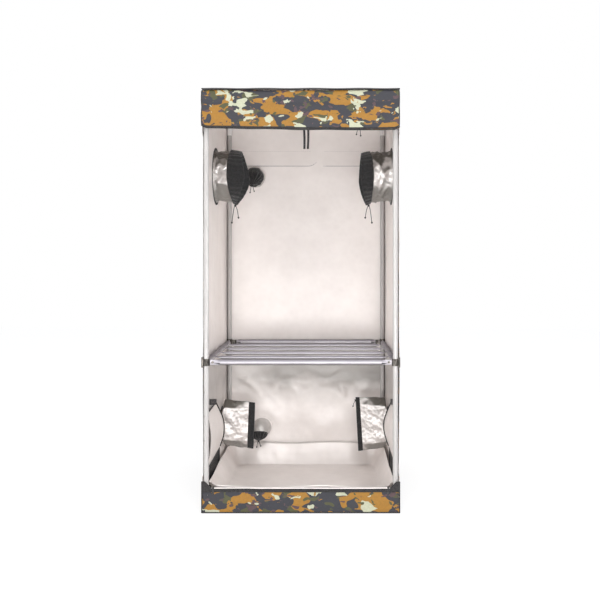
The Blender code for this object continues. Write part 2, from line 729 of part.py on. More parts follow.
def build_sill():
    straight = HALF_WIDTH + TUBE_RADIUS - SILL_RISE_LENGTH
    right_half = [straight / 2, straight] + spread(straight, OUTER_X, 4)[1:]
    stations = [-x for x in reversed(right_half)] + [0.0] + right_half
    back = -INNER_Y
    front = -OUTER_Y
    bind_back = back + BINDING_BULGE
    bind_front = front - BINDING_BULGE
    rings = []
    for x in stations:
        top = sill_top(x)
        low = top - SILL_BINDING_HEIGHT
        outline = [(back, WALL_BOTTOM), (back, low), (bind_back, low), (bind_back, top)]
        outline += [(bind_front, top), (bind_front, low), (front, low), (front, WALL_BOTTOM)]
        rings.append([Vector((x, y, z)) for y, z in outline])
    add_piece("front_sill", loft(rings), "camouflage_cloth")


def roll_outline(x):
    end = ease((ROLL_HALF_LENGTH - abs(x)) / ROLL_CORNER)
    along = pi * x / TENT_WIDTH
    bottom = DOOR_TOP + ROLL_CORNER * (1 - end) + ROLL_WAVE * sin(ROLL_WAVE_COUNT * along)
    swell = ROLL_END_SHARE + (1 - ROLL_END_SHARE) * end
    swell *= 1 + ROLL_SWELL_SHARE * sin(ROLL_SWELL_COUNT * along)
    back = -OUTER_Y - SEAT_GAP
    upper_middle = (ROLL_TOP + ROLL_CREASE) / 2
    lower_middle = (ROLL_CREASE + bottom) / 2
    shares = [
        (0.00, ROLL_TOP),
        (0.55, ROLL_TOP),
        (0.90, (ROLL_TOP + upper_middle) / 2),
        (1.00, upper_middle),
        (0.88, (ROLL_CREASE + upper_middle) / 2),
        (ROLL_CREASE_DEPTH / ROLL_DEPTH, ROLL_CREASE),
        (0.92, (ROLL_CREASE + lower_middle) / 2),
        (0.98, lower_middle),
        (0.80, (bottom + lower_middle) / 2),
        (0.45, bottom),
        (0.00, bottom + ROLL_CORNER / 4),
    ]
    return [Vector((x, back - ROLL_DEPTH * swell * share, z)) for share, z in shares]


def build_door_roll():
    inner = ROLL_HALF_LENGTH - ROLL_CORNER
    stations = [-ROLL_HALF_LENGTH, -ROLL_HALF_LENGTH + ROLL_CORNER / 2]
    stations += spread(-inner, inner, ROLL_STATIONS)
    stations += [ROLL_HALF_LENGTH - ROLL_CORNER / 2, ROLL_HALF_LENGTH]
    add_piece("door_roll", loft([roll_outline(x) for x in stations]), "camouflage_cloth")


def build_tie_straps():
    y = -(INNER_Y + OUTER_Y) / 2
    left = STRAP_LEFT_X - STRAP_WIDTH / 2
    right = STRAP_LEFT_X + STRAP_SPACING + STRAP_WIDTH / 2
    inner_left, inner_right = left + STRAP_WIDTH, right - STRAP_WIDTH
    fork = WALL_TOP - STRAP_BRIDGE
    outline = [(left, WALL_TOP), (left, STRAP_END), (inner_left, STRAP_END), (inner_left, fork)]
    outline += [(inner_right, fork), (inner_right, STRAP_END), (right, STRAP_END), (right, WALL_TOP)]
    solid = prism([(x, y, z) for x, z in outline], AXIS_Y, CLOTH)
    add_piece("door_tie_straps", solid, "black_tape")


# Duct sleeves: a hem against the wall, a film tube and a cuff at the mouth


def sleeve_solid(root, inward, radius, body, hem_width=HEM_WIDTH, drawn_shut=False):
    u, v = across(inward)
    hem = SEAT_GAP + HEM_THICKNESS
    inner = [(depth, ru - CLOTH, rv - CLOTH, drop) for depth, ru, rv, drop in body[::-1]]
    if drawn_shut:
        depth, reach_u, reach_v, drop = inner[0]
        inner[0] = (depth - CLOTH * 2, reach_u, reach_v, drop)
    outer = [
        (-CLOTH, radius - CLOTH, radius - CLOTH, 0),
        (-CLOTH, radius, radius, 0),
        (SEAT_GAP, radius, radius, 0),
        (SEAT_GAP, radius + hem_width, radius + hem_width, 0),
        (hem, radius + hem_width, radius + hem_width, 0),
        (hem, radius, radius, 0),
    ] + body
    rings = []
    for depth, reach_u, reach_v, drop in inner + outer:
        centre = root + inward * depth - AXIS_Z * drop
        rings.append(oval(centre, u, v, reach_u, reach_v, SLEEVE_SIDES))
    return loft(rings, bored=not drawn_shut)


def side_sleeve_body(cuff_start):
    radius = SIDE_SLEEVE_DIAMETER / 2
    cuff = 1 - cuff_start
    shares = [
        (cuff_start * 0.5, 0.97, 0.97, 0.10),
        (cuff_start, 0.93, 0.95, 0.35),
        (cuff_start + cuff * 0.03, 0.96, 0.98, 0.35),
        (cuff_start + cuff * 0.36, 0.95, 1.00, 0.70),
        (1.00, 0.74, 0.86, 1.00),
    ]
    return [(SIDE_SLEEVE_LENGTH * s, radius * a, radius * b, SIDE_SLEEVE_DROP * d) for s, a, b, d in shares]


def low_sleeve_body():
    radius = LOW_SLEEVE_DIAMETER / 2
    mouth = LOW_SLEEVE_MOUTH / 2
    flat = pi * radius / 2
    shares = [
        (0.25, 0.70, 0.35),
        (0.55, 0.25, 0.80),
        (0.84, 0.04, 0.97),
        (0.86, 0.06, 1.00),
        (1.00, 0.00, 1.00),
    ]
    body = []
    for s, open_share, tall_share in shares:
        wide = mouth + (radius - mouth) * open_share
        tall = radius + (flat - radius) * tall_share
        body.append((LOW_SLEEVE_LENGTH * s, wide, tall, 0))
    return body


def port_body():
    radius = PORT_DIAMETER / 2
    gather = PORT_GATHER / 2
    shares = [(0.26, 1.04, 0.05), (0.46, 1.00, 0.15), (0.50, 1.03, 0.15), (0.80, 0.80, 0.55)]
    body = [(PORT_LENGTH * s, radius * a, radius * a, PORT_DROP * d) for s, a, d in shares]
    body.append((PORT_LENGTH, gather, gather, PORT_DROP))
    return body


def roof_sleeve_body():
    radius = ROOF_SLEEVE_DIAMETER / 2
    shares = [(0.35, 0.96), (0.66, 0.92), (0.68, 0.95), (1.00, 0.78)]
    return [(ROOF_SLEEVE_LENGTH * s, radius * a, radius * a, 0) for s, a in shares]


def build_sleeves():
    for side, side_x in (("left", -1), ("right", 1)):
        inward = AXIS_X * -side_x
        high = Vector((side_x * INNER_X, 0, SIDE_SLEEVE_HEIGHT))
        body = side_sleeve_body(CUFF_START_SHARES[side])
        solid = sleeve_solid(high, inward, SIDE_SLEEVE_DIAMETER / 2, body)
        add_piece(f"duct_sleeve_{side}", solid, "silver_film")
        low = Vector((side_x * INNER_X, LOW_SLEEVE_Y, LOW_SLEEVE_HEIGHT))
        solid = sleeve_solid(low, inward, LOW_SLEEVE_DIAMETER / 2, low_sleeve_body())
        add_piece(f"intake_sleeve_{side}", solid, "silver_film")
    for level, x, z in (("upper", HIGH_PORT_X, HIGH_PORT_HEIGHT), ("lower", LOW_PORT_X, LOW_PORT_HEIGHT)):
        root = Vector((x, INNER_Y, z))
        solid = sleeve_solid(root, -AXIS_Y, PORT_DIAMETER / 2, port_body(), PORT_HEM_WIDTH, True)
        add_piece(f"cable_port_{level}", solid, "silver_film")
    root = Vector((ROOF_SLEEVE_X, 0, TENT_HEIGHT - CLOTH))
    solid = sleeve_solid(root, -AXIS_Z, ROOF_SLEEVE_DIAMETER / 2, roof_sleeve_body())
    add_piece("roof_sleeve", solid, "silver_film")


# Drawcord ends: one cord with its knot under the cuff and an end down each side


def smooth_route(points, step):
    route = []
    padded = [points[0]] + points + [points[-1]]
    for i in range(1, len(padded) - 2):
        before, start, end, after = padded[i - 1 : i + 3]
        count = max(1, round((end - start).length / step))
        for k in range(count):
            t = k / count
            turn = (end - before) / 2, (after - start) / 2
            route.append(hermite(start, end, turn[0], turn[1], t))
    route.append(points[-1])
    return route


def hermite(start, end, leave, arrive, t):
    a = 2 * t**3 - 3 * t**2 + 1
    b = t**3 - 2 * t**2 + t
    c = -2 * t**3 + 3 * t**2
    d = t**3 - t**2
    return start * a + leave * b + end * c + arrive * d


def drawcord(name, knot, side_x):
    outer = knot + Vector((side_x * CORD_SPREAD, 0, -CORD_LONG_END))
    inner = knot + Vector((-side_x * CORD_SPREAD, -CORD_SPREAD / 2, -CORD_SHORT_END))
    outer_bend, inner_bend = CORD_BEND_SHARES
    points = [
        outer,
        knot + (outer - knot) * outer_bend + AXIS_X * (side_x * CORD_DIAMETER),
        knot + Vector((side_x * CORD_LOOP, 0, -CORD_KNOT_DROP)),
        knot,
        knot + Vector((-side_x * CORD_LOOP, 0, -CORD_KNOT_DROP)),
        knot + (inner - knot) * inner_bend - AXIS_X * (side_x * CORD_DIAMETER),
        inner,
    ]
    curve = bpy.data.curves.new(name, "CURVE")
    curve.dimensions = "3D"
    curve.bevel_depth = CORD_DIAMETER / 2
    curve.bevel_resolution = 2
    curve.use_fill_caps = True
    route = smooth_route(points, CORD_STEP)
    spline = curve.splines.new("POLY")
    spline.points.add(len(route) - 1)
    for point, place in zip(spline.points, route):
        point.co = (*place, 1)
    cord = bpy.data.objects.new(name, curve)
    bpy.context.collection.objects.link(cord)
    curve.materials.append(material_for(name, "black_tape"))


def build_drawcords():
    for side, side_x in (("left", -1), ("right", 1)):
        depth, _, reach, drop = side_sleeve_body(CUFF_START_SHARES[side])[-2]
        x = side_x * (INNER_X - depth)
        under = SIDE_SLEEVE_HEIGHT - drop - reach * cos(pi / SLEEVE_SIDES)
        z = under - CORD_DIAMETER / 2 - SEAT_GAP
        drawcord(f"drawcord_{side}", Vector((x, 0, z)), side_x)


# Side vent flaps, sewn along their lower edge, folded up and held by the front corner


def vent_flap(name, side_x):
    seam = VENT_TOP + FLAP_SEAM
    face = INNER_X - SEAT_GAP - CLOTH
    front = VENT_FRONT - FLAP_SEAM
    rear = VENT_REAR + FLAP_SEAM
    axis = Vector((side_x * face, (front + rear) / 2, seam))
    hinge = add_axis(f"{name}_hinge", axis)

    def place(across_share, up_share):
        rear_here = rear + (front + FLAP_TOP_WIDTH - rear) * up_share
        fullness = FLAP_FRONT_BOW_SHARE + (1 - FLAP_FRONT_BOW_SHARE) * across_share
        bow = FLAP_BOW * sin(pi * up_share) * fullness
        y = front + (rear_here - front) * across_share
        return Vector((side_x * (face - bow), y, seam + FLAP_LENGTH * up_share))

    solid = cloth_panel(spread(0, 1, 4), spread(0, 1, FLAP_STATIONS), place, AXIS_X * (side_x * CLOTH))
    add_piece(name, solid, "silver_film", axis, hinge)


# Spill tray


def tray_ring(inset, height, wave):
    half_x = HALF_WIDTH - inset
    half_y = HALF_DEPTH - inset
    points = []
    for quarter in range(4):
        start = quarter * pi / 2
        toward = Vector((cos(start + pi / 4), sin(start + pi / 4)))
        sign_x = 1 if toward.x > 0 else -1
        sign_y = 1 if toward.y > 0 else -1
        centre = Vector((sign_x * (half_x - TRAY_CORNER), sign_y * (half_y - TRAY_CORNER)))
        for i in range(TRAY_ARC_POINTS):
            angle = start + i * pi / 2 / (TRAY_ARC_POINTS - 1)
            points.append(centre + Vector((cos(angle), sin(angle))) * TRAY_CORNER)
    ring = []
    for i, point in enumerate(points):
        ring.append(point)
        if i % TRAY_ARC_POINTS == TRAY_ARC_POINTS - 1:
            following = points[(i + 1) % len(points)]
            for k in range(1, TRAY_SIDE_POINTS):
                ring.append(point.lerp(following, k / TRAY_SIDE_POINTS))
    placed = []
    for i, point in enumerate(ring):
        ripple = wave * sin(2 * pi * TRAY_WAVE_COUNT * i / len(ring))
        placed.append(Vector((point.x, point.y, height + ripple)))
    return placed


def build_tray():
    floor = CLOTH + SEAT_GAP
    knee_inset = TRAY_FLOOR_INSET + (TRAY_RIM_INSET - TRAY_FLOOR_INSET) * TRAY_KNEE_INSET_SHARE
    knee = floor + TRAY_HEIGHT * TRAY_KNEE_HEIGHT_SHARE
    rings = [
        tray_ring(TRAY_FLOOR_INSET, floor, 0),
        tray_ring(knee_inset, knee, 0),
        tray_ring(TRAY_RIM_INSET, floor + TRAY_HEIGHT, TRAY_WAVE),
        tray_ring(TRAY_RIM_INSET + TRAY_SHEET, floor + TRAY_HEIGHT, TRAY_WAVE),
        tray_ring(knee_inset + TRAY_SHEET, knee, 0),
        tray_ring(TRAY_FLOOR_INSET + TRAY_SHEET, floor + TRAY_SHEET, 0),
    ]
    add_piece("spill_tray", loft(rings), "tray_sheet")


# Zip sliders: a saddle over the bound edge with its pull hanging in front


def zip_slider(name, side_x):
    middle = -(INNER_Y + OUTER_Y) / 2
    slot = SILL_BINDING_THICKNESS / 2 + SEAT_GAP
    cheek = slot + SLIDER_WALL
    top = SILL_HEIGHT + SEAT_GAP
    crown = top + SLIDER_WALL
    low = top - SLIDER_HEIGHT
    pull = top - SLIDER_PULL
    outline = [
        (middle + slot, low),
        (middle + cheek, low),
        (middle + cheek, crown),
        (middle - cheek, crown),
        (middle - cheek - SLIDER_WALL / 2, crown - SLIDER_WALL),
        (middle - cheek - SLIDER_WALL / 2, pull),
        (middle - slot, pull),
        (middle - slot, top),
        (middle + slot, top),
    ]
    place = Vector((side_x * SLIDER_X, middle, top))
    solid = prism([(place.x, y, z) for y, z in outline], AXIS_X, SLIDER_WIDTH)
    add_piece(name, solid, "black_plastic", place, add_axis(f"{name}_track", place))


def build_tent():
    clear_scene()
    build_frame()
    build_roof_bars()
    build_shelf()
    side_wall("left_wall", -1)
    side_wall("right_wall", 1)
    build_back_wall()
    build_floor_and_roof()
    build_sill()
    build_door_roll()
    build_tie_straps()
    build_sleeves()
    build_drawcords()
    build_tray()
    for side, side_x in (("left", -1), ("right", 1)):
        vent_flap(f"vent_flap_{side}", side_x)
        zip_slider(f"zip_slider_{side}", side_x)


build_tent()
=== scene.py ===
import json
from math import cos, pi, radians, sin

import bmesh
import bpy
import numpy as np
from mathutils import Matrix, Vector

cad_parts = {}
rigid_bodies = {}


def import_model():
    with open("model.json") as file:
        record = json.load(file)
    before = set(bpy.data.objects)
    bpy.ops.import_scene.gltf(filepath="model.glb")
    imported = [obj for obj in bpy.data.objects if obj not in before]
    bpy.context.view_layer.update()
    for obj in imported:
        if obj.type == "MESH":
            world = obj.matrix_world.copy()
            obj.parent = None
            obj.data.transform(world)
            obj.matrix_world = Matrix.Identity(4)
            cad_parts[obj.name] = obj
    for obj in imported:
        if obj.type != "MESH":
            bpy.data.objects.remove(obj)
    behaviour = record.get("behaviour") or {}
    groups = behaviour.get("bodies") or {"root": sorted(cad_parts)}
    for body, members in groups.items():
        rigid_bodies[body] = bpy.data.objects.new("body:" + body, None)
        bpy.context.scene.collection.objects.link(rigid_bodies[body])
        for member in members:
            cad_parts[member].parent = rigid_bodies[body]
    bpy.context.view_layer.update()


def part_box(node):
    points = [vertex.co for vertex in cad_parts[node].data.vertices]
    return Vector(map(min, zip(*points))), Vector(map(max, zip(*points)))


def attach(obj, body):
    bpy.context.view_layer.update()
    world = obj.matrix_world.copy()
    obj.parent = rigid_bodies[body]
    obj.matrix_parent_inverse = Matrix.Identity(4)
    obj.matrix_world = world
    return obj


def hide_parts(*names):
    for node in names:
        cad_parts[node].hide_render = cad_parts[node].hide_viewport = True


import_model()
print("frame loaded")

# Faces of the cover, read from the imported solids
wallLow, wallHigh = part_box("right_wall")
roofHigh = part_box("roof_panel")[1]
sillLow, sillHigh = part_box("front_sill")
rollLow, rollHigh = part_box("door_roll")
cover = {
    "innerX": wallLow.x,
    "outerX": wallHigh.x,
    "innerY": roofHigh.y - (wallHigh.x - wallLow.x),
    "outerY": roofHigh.y,
    "low": wallLow.z,
    "top": wallHigh.z,
    "roofTop": roofHigh.z,
    "cloth": wallHigh.x - wallLow.x,
}
bothSides = (("left", -1), ("right", 1))


# Noise and folds

noisePrimes = np.array([73856093, 19349663, 83492791])


def latticeValue(cell, seed):
    mixed = (cell * noisePrimes).sum(axis=-1) ^ (seed * 2654435761)
    mixed = ((mixed ^ (mixed >> 13)) * 1274126177) & 0xFFFFFFFF
    return ((mixed ^ (mixed >> 16)) & 0xFFFF) / 0xFFFF


def softNoise(points, size, seed):
    scaled = np.asarray(points, float) / size
    cell = np.floor(scaled).astype(np.int64)
    part = scaled - cell
    part = part**3 * (part * (part * 6 - 15) + 10)
    total = 0
    for corner in np.ndindex(2, 2, 2):
        weight = np.where(corner, part, 1 - part).prod(axis=-1)
        total = total + weight * latticeValue(cell + corner, seed)
    return total * 2 - 1


def layeredNoise(points, size, seed, layers=3):
    size = np.asarray(size, float)
    total = 0
    for k in range(layers):
        total = total + softNoise(points, size / 2**k, seed + k) / 2**k
    return total / 1.6


def creased(points, size, seed, count=6):
    # sharp little folds, as crumpled film has them
    picker = np.random.default_rng(seed)
    points = np.asarray(points, float)
    bend = np.stack([softNoise(points, size * 1.7, seed + k) for k in range(3)], -1)
    warped = points + bend * size * 0.8
    total = 0
    for _ in range(count):
        direction = picker.normal(size=3)
        direction /= np.linalg.norm(direction)
        wave = warped @ direction / (size * picker.uniform(0.7, 2.2)) + picker.random()
        total = total + np.abs((wave % 1) * 2 - 1)
    return total / count * 2 - 1


def ease(share):
    share = np.clip(share, 0, 1)
    return share * share * (3 - 2 * share)


def hump(value, low, high):
    return np.sin(pi * np.clip((value - low) / (high - low), 0, 1)) ** 2


def calm(value, low, high, reach):
    # 0 at both ends, easing to 1 between them
    return ease((value - low) / reach) * ease((high - value) / reach)


def clearOf(u, v, centre, radius, reach):
    # 0 inside a round opening, easing to 1 away from it
    return ease((np.hypot(u - centre[0], v - centre[1]) - radius) / reach)


# Point and mesh helpers


def unit(vectors):
    return vectors / np.linalg.norm(vectors, axis=-1, keepdims=True)


def turns(count):
    # angles of evenly spaced points round a ring
    return np.arange(count) * 2 * pi / count


def pointGrid(x, y, z):
    # points from their coordinates; a single number serves all of them
    return np.stack(np.broadcast_arrays(x, y, z), -1).astype(float)


def cuts(low, high, stops, cell):
    # an even grid that has a line at each stop
    marks = [low, *sorted(stops), high]
    parts = [np.linspace(a, b, max(2, round((b - a) / cell) + 1))[:-1] for a, b in zip(marks, marks[1:])]
    return np.concatenate([*parts, [high]])


def cellMiddles(grid):
    return (grid[:-1, :-1] + grid[1:, 1:]) / 2


def walkAlong(line, first, spare, pitch, ahead=0.0):
    # points at even distances along a line, from first to spare before its end
    steps = np.linalg.norm(np.diff(line, axis=0), axis=1)
    travelled = np.concatenate([[0], np.cumsum(steps)])
    places = np.arange(first, travelled[-1] - spare, pitch) + ahead
    return np.stack([np.interp(places, travelled, line[:, k]) for k in range(3)], -1)


def closedMesh(name, points, faces, finishNames, slots=None, smooth=True):
    mesh = bpy.data.meshes.new(name)
    mesh.from_pydata(np.asarray(points, float).tolist(), [], faces)
    for finish in finishNames:
        mesh.materials.append(finishes[finish])
    if slots is not None:
        mesh.polygons.foreach_set("material_index", np.asarray(slots, np.int32))
    mesh.polygons.foreach_set("use_smooth", np.full(len(faces), smooth))
    worker = bmesh.new()
    worker.from_mesh(mesh)
    bmesh.ops.recalc_face_normals(worker, faces=worker.faces[:])
    worker.to_mesh(mesh)
    worker.free()
    piece = bpy.data.objects.new(name, mesh)
    bpy.context.collection.objects.link(piece)
    return piece


def seat(piece, node=None, body="frame_and_cover"):
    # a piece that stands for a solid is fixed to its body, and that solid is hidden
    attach(piece, body)
    if node:
        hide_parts(node)
    return piece


def seatSheet(piece, node, body="frame_and_cover"):
    # a sheet of cut cloth is seated like any other piece
    seat(piece, node, body)


def twoSkins(name, near, far, finishNames, keep=None, slots=(0, 1, 2), bound=None):
    # near and far are grids of points; keep says which cells are cloth, bound which lie under the edge tape
    rows, columns = near.shape[:2]
    if keep is None:
        keep = np.ones((rows - 1, columns - 1), bool)
    count = rows * columns
    around = np.array([0, 1, columns + 1, columns])
    quads = [(r, c, r * columns + c + around) for r, c in np.argwhere(keep)]
    faces, faceSlots = [], []
    for r, c, quad in quads:
        faces += [quad, quad + count]
        taped = bound is not None and bound[r, c]
        faceSlots += [slots[2], slots[2]] if taped else [slots[0], slots[1]]
    padded = np.pad(keep, 1)
    edges = (((-1, 0), (0, 1)), ((1, 0), (3, 2)), ((0, -1), (0, 3)), ((0, 1), (1, 2)))
    for r, c, quad in quads:
        for (dr, dc), (p, q) in edges:
            if not padded[r + 1 + dr, c + 1 + dc]:
                faces.append((quad[p], quad[q], quad[q] + count, quad[p] + count))
                faceSlots.append(slots[2])
    faces = np.array(faces)
    used = np.unique(faces)
    order = np.full(2 * count, -1)
    order[used] = np.arange(len(used))
    points = np.concatenate([near.reshape(-1, 3), far.reshape(-1, 3)])[used]
    return closedMesh(name, points, order[faces].tolist(), finishNames, faceSlots)


def openRound(u, v, keep, centre, radius):
    # takes the cells inside a circle away and draws the cut edge onto the circle
    inside = np.hypot(cellMiddles(u) - centre[0], cellMiddles(v) - centre[1]) < radius
    keep &= ~inside
    touching = np.zeros(u.shape, int)
    for dr in (0, 1):
        for dc in (0, 1):
            touching[dr : dr + inside.shape[0], dc : dc + inside.shape[1]] += inside
    edge = (touching > 0) & (touching < 4)
    reachU, reachV = u[edge] - centre[0], v[edge] - centre[1]
    scale = radius / np.hypot(reachU, reachV)
    u[edge] = centre[0] + reachU * scale
    v[edge] = centre[1] + reachV * scale


def ringFaces(rows, around, closed=False):
    # faces between neighbouring rings of points; closed joins the last ring to the first
    faces = []
    for i in range(rows if closed else rows - 1):
        j = (i + 1) % rows
        for k in range(around):
            n = (k + 1) % around
            faces.append((i * around + k, i * around + n, j * around + n, j * around + k))
    return faces


def loftSleeve(name, rings, filmRings, thickness, film="silverFilm"):
    # an open tube, film and then knit: a skin through the rings and another a cloth's thickness in
    rings = np.asarray(rings, float)
    count, around = rings.shape[:2]
    toward = rings.mean(axis=1, keepdims=True) - rings
    toward /= np.maximum(np.linalg.norm(toward, axis=2, keepdims=True), 1e-6)
    skins = np.concatenate([rings, (rings + toward * thickness)[::-1]])
    kinds = [0] * filmRings + [1] * (count - filmRings)
    slots = np.repeat(kinds + kinds[-2::-1] + kinds[:1], around)
    faces = ringFaces(2 * count, around, closed=True)
    return closedMesh(name, skins.reshape(-1, 3), faces, (film, "blackKnit"), slots)


def sweptPoints(line, tangent, helper, widths, count):
    # a ring of points round each point of a line, square to the line
    side = unit(np.cross(tangent, helper))
    up = np.cross(side, tangent)
    angles = turns(count)[None, :, None]
    ring = side[:, None] * np.cos(angles) + up[:, None] * np.sin(angles)
    return (line[:, None] + ring * widths).reshape(-1, 3)


def tubeAlong(name, line, radius, finish="blackTape", count=10, taper=None, body="frame_and_cover"):
    line = np.asarray(line, float)
    tangent = unit(np.gradient(line, axis=0))
    helper = (0.31, 0.17, 0.93) if abs(tangent[:, 2]).mean() < 0.8 else (0.93, 0.31, 0.1)
    widths = radius if taper is None else radius * np.asarray(taper)[:, None, None]
    last = (len(line) - 1) * count
    faces = ringFaces(len(line), count) + [tuple(range(count)), tuple(range(last, last + count))]
    points = sweptPoints(line, tangent, helper, widths, count)
    return seat(closedMesh(name, points, faces, [finish]), body=body)


def ribbonAlong(name, line, normal, width, thickness, finish="blackTape", node=None, body="frame_and_cover"):
    # a flat tape that follows a line, lying square to the normal
    line = np.asarray(line, float)
    normals = np.broadcast_to(np.asarray(normal, float), line.shape)
    across = unit(np.cross(normals, np.gradient(line, axis=0)))
    steps = np.linspace(-0.5, 0.5, 4) * width
    top = line[:, None] + across[:, None] * steps[None, :, None] + normals[:, None] * thickness / 2
    low = top - normals[:, None] * thickness
    return seat(twoSkins(name, top, low, [finish], slots=(0, 0, 0)), node, body)


def bandRing(name, centre, axis, inner, outer, height, finish="blackTape"):
    # a flat ring of tape round an opening; axis is the direction that it stands up in
    axis = Vector(axis)
    side = Vector((0, 1, 0)) if abs(axis.x) > 0.5 else Vector((1, 0, 0))
    other = axis.cross(side)
    profile = [
        (inner, 0),
        (inner, height * 0.7),
        (inner * 0.8 + outer * 0.2, height),
        (inner * 0.2 + outer * 0.8, height),
        (outer, height * 0.6),
        (outer, 0),
    ]
    points = []
    for turn in turns(72):
        out = side * cos(turn) + other * sin(turn)
        points += [Vector(centre) + out * radius + axis * up for radius, up in profile]
    return seat(closedMesh(name, points, ringFaces(72, len(profile), closed=True), [finish]))


def smallBlocks(name, frames, size, finish):
    # many little bars in one piece; a frame is a centre with its along and across directions
    corners = np.array([(x, y, z) for x in (-1, 1) for y in (-1, 1) for z in (-1, 1)]) / 2
    quads = ((0, 1, 3, 2), (4, 6, 7, 5), (0, 4, 5, 1), (2, 3, 7, 6), (0, 2, 6, 4), (1, 5, 7, 3))
    points, faces = [], []
    for centre, along, across in frames:
        along = np.asarray(along, float) / np.linalg.norm(along)
        across = np.asarray(across, float) / np.linalg.norm(across)
        axes = np.stack([along, across, np.cross(along, across)])
        start = len(points)
        points += list(np.asarray(centre) + (corners * size) @ axes)
        faces += [tuple(start + i for i in quad) for quad in quads]
    return seat(closedMesh(name, points, faces, [finish], smooth=False))


# Shader node helpers, and the node groups that several finishes use


def addNode(tree, kind, settings=None, **links):
    node = tree.nodes.new(kind)
    for label, value in (settings or {}).items():
        if label in node.inputs:
            node.inputs[label].default_value = value
        else:
            setattr(node, label, value)
    for label, source in links.items():
        tree.links.new(source, node.inputs[label.replace("_", " ")])
    return node


def feed(tree, socket, value):
    # a socket takes a link or a plain value
    if isinstance(value, bpy.types.NodeSocket):
        tree.links.new(value, socket)
    else:
        socket.default_value = value


def mathNode(tree, operation, *values):
    node = tree.nodes.new("ShaderNodeMath")
    node.operation = operation
    for socket, value in zip(node.inputs, values):
        feed(tree, socket, value)
    return node.outputs[0]


def mixColours(tree, share, first, second, blend="MIX"):
    node = tree.nodes.new("ShaderNodeMix")
    node.data_type, node.blend_type = "RGBA", blend
    for index, value in ((0, share), (6, first), (7, second)):
        feed(tree, node.inputs[index], value)
    return node.outputs[2]


def mixShaders(tree, share, first, second):
    node = tree.nodes.new("ShaderNodeMixShader")
    for socket, source in zip(node.inputs, (share, first.outputs[0], second.outputs[0])):
        tree.links.new(source, socket)
    return node.outputs[0]


def rampNode(tree, source, *stops):
    # a stop is a place with a colour, or with a number for a grey
    node = tree.nodes.new("ShaderNodeValToRGB")
    while len(node.color_ramp.elements) < len(stops):
        node.color_ramp.elements.new(0.5)
    for element, (place, colour) in zip(node.color_ramp.elements, stops):
        element.position = place
        element.color = (*colour, 1) if isinstance(colour, tuple) else (colour, colour, colour, 1)
    tree.links.new(source, node.inputs[0])
    return node.outputs[0]


def newGroup(name, settings, outputs):
    # a group with a vector input, one input for each setting, and its outputs
    group = bpy.data.node_groups.new(name, "ShaderNodeTree")
    group.interface.new_socket("Vector", in_out="INPUT", socket_type="NodeSocketVector")
    for label, value in settings.items():
        socket = group.interface.new_socket(label, in_out="INPUT", socket_type="NodeSocketFloat")
        socket.default_value = value
    for label in outputs:
        kind = "NodeSocketColor" if label == "Color" else "NodeSocketFloat"
        group.interface.new_socket(label, in_out="OUTPUT", socket_type=kind)
    return group, group.nodes.new("NodeGroupInput").outputs, group.nodes.new("NodeGroupOutput").inputs


def filmReliefGroup():
    # soft dents, fine crumple and the film's pressed diamond grid
    settings = {"Dent Scale": 16.0, "Crumple Scale": 60.0, "Crumple": 0.5}
    group, start, end = newGroup("filmRelief", settings, ("Height", "Tone"))
    dents = addNode(group, "ShaderNodeTexNoise", {"Detail": 3.0, "Roughness": 0.5},
                    Vector=start["Vector"], Scale=start["Dent Scale"])
    folded = {"feature": "SMOOTH_F1", "Smoothness": 0.35, "Randomness": 1.0}
    crumple = addNode(group, "ShaderNodeTexVoronoi", folded,
                      Vector=start["Vector"], Scale=start["Crumple Scale"])
    share = mathNode(group, "MULTIPLY", crumple.outputs["Distance"], start["Crumple"])
    lines = []
    for turn in (radians(45), radians(-45)):
        turned = addNode(group, "ShaderNodeMapping", {"Rotation": (turn, turn, turn)}, Vector=start["Vector"])
        wave = addNode(group, "ShaderNodeTexWave", {"Scale": 90.0, "Distortion": 0.4},
                       Vector=turned.outputs["Vector"])
        lines.append(wave.outputs["Fac"])
    diamonds = mathNode(group, "MULTIPLY", mathNode(group, "MAXIMUM", *lines), 0.06)
    height = mathNode(group, "ADD", mathNode(group, "ADD", dents.outputs["Fac"], share), diamonds)
    group.links.new(height, end["Height"])
    # Tone is the height again: colour taken from it is painted shade in the dents and creases
    group.links.new(mathNode(group, "MULTIPLY", height, 0.6), end["Tone"])
    return group


def camouflageGroup():
    # hard-edged patches of a common woodland print, laid over each other
    group, start, end = newGroup("camouflagePrint", {"Patch Scale": 9.0}, ["Color"])
    # where each layer is taken from, how fine it is, how much of it shows, and its colour
    layers = [
        (0.0, 1.00, 0.485, (0.024, 0.024, 0.032)),
        (11.3, 1.35, 0.590, (0.062, 0.062, 0.022)),
        (23.9, 1.80, 0.625, (0.075, 0.040, 0.046)),
        (37.1, 1.15, 0.625, (0.46, 0.47, 0.34)),
        (51.7, 2.10, 0.680, (0.30, 0.15, 0.020)),
    ]
    colour = (0.31, 0.145, 0.011, 1)
    for shift, finer, edge, paint in layers:
        moved = {"Location": (shift, shift * 0.7, shift * 1.3), "Scale": (0.8, 0.8, 1.25)}
        place = addNode(group, "ShaderNodeMapping", moved, Vector=start["Vector"])
        scale = mathNode(group, "MULTIPLY", start["Patch Scale"], finer)
        patch = addNode(group, "ShaderNodeTexNoise", {"Detail": 2.5, "Roughness": 0.48, "Distortion": 0.55},
                        Vector=place.outputs["Vector"], Scale=scale)
        cut = mathNode(group, "GREATER_THAN", patch.outputs["Fac"], edge)
        colour = mixColours(group, cut, colour, (*paint, 1))
    group.links.new(colour, end["Color"])
    return group


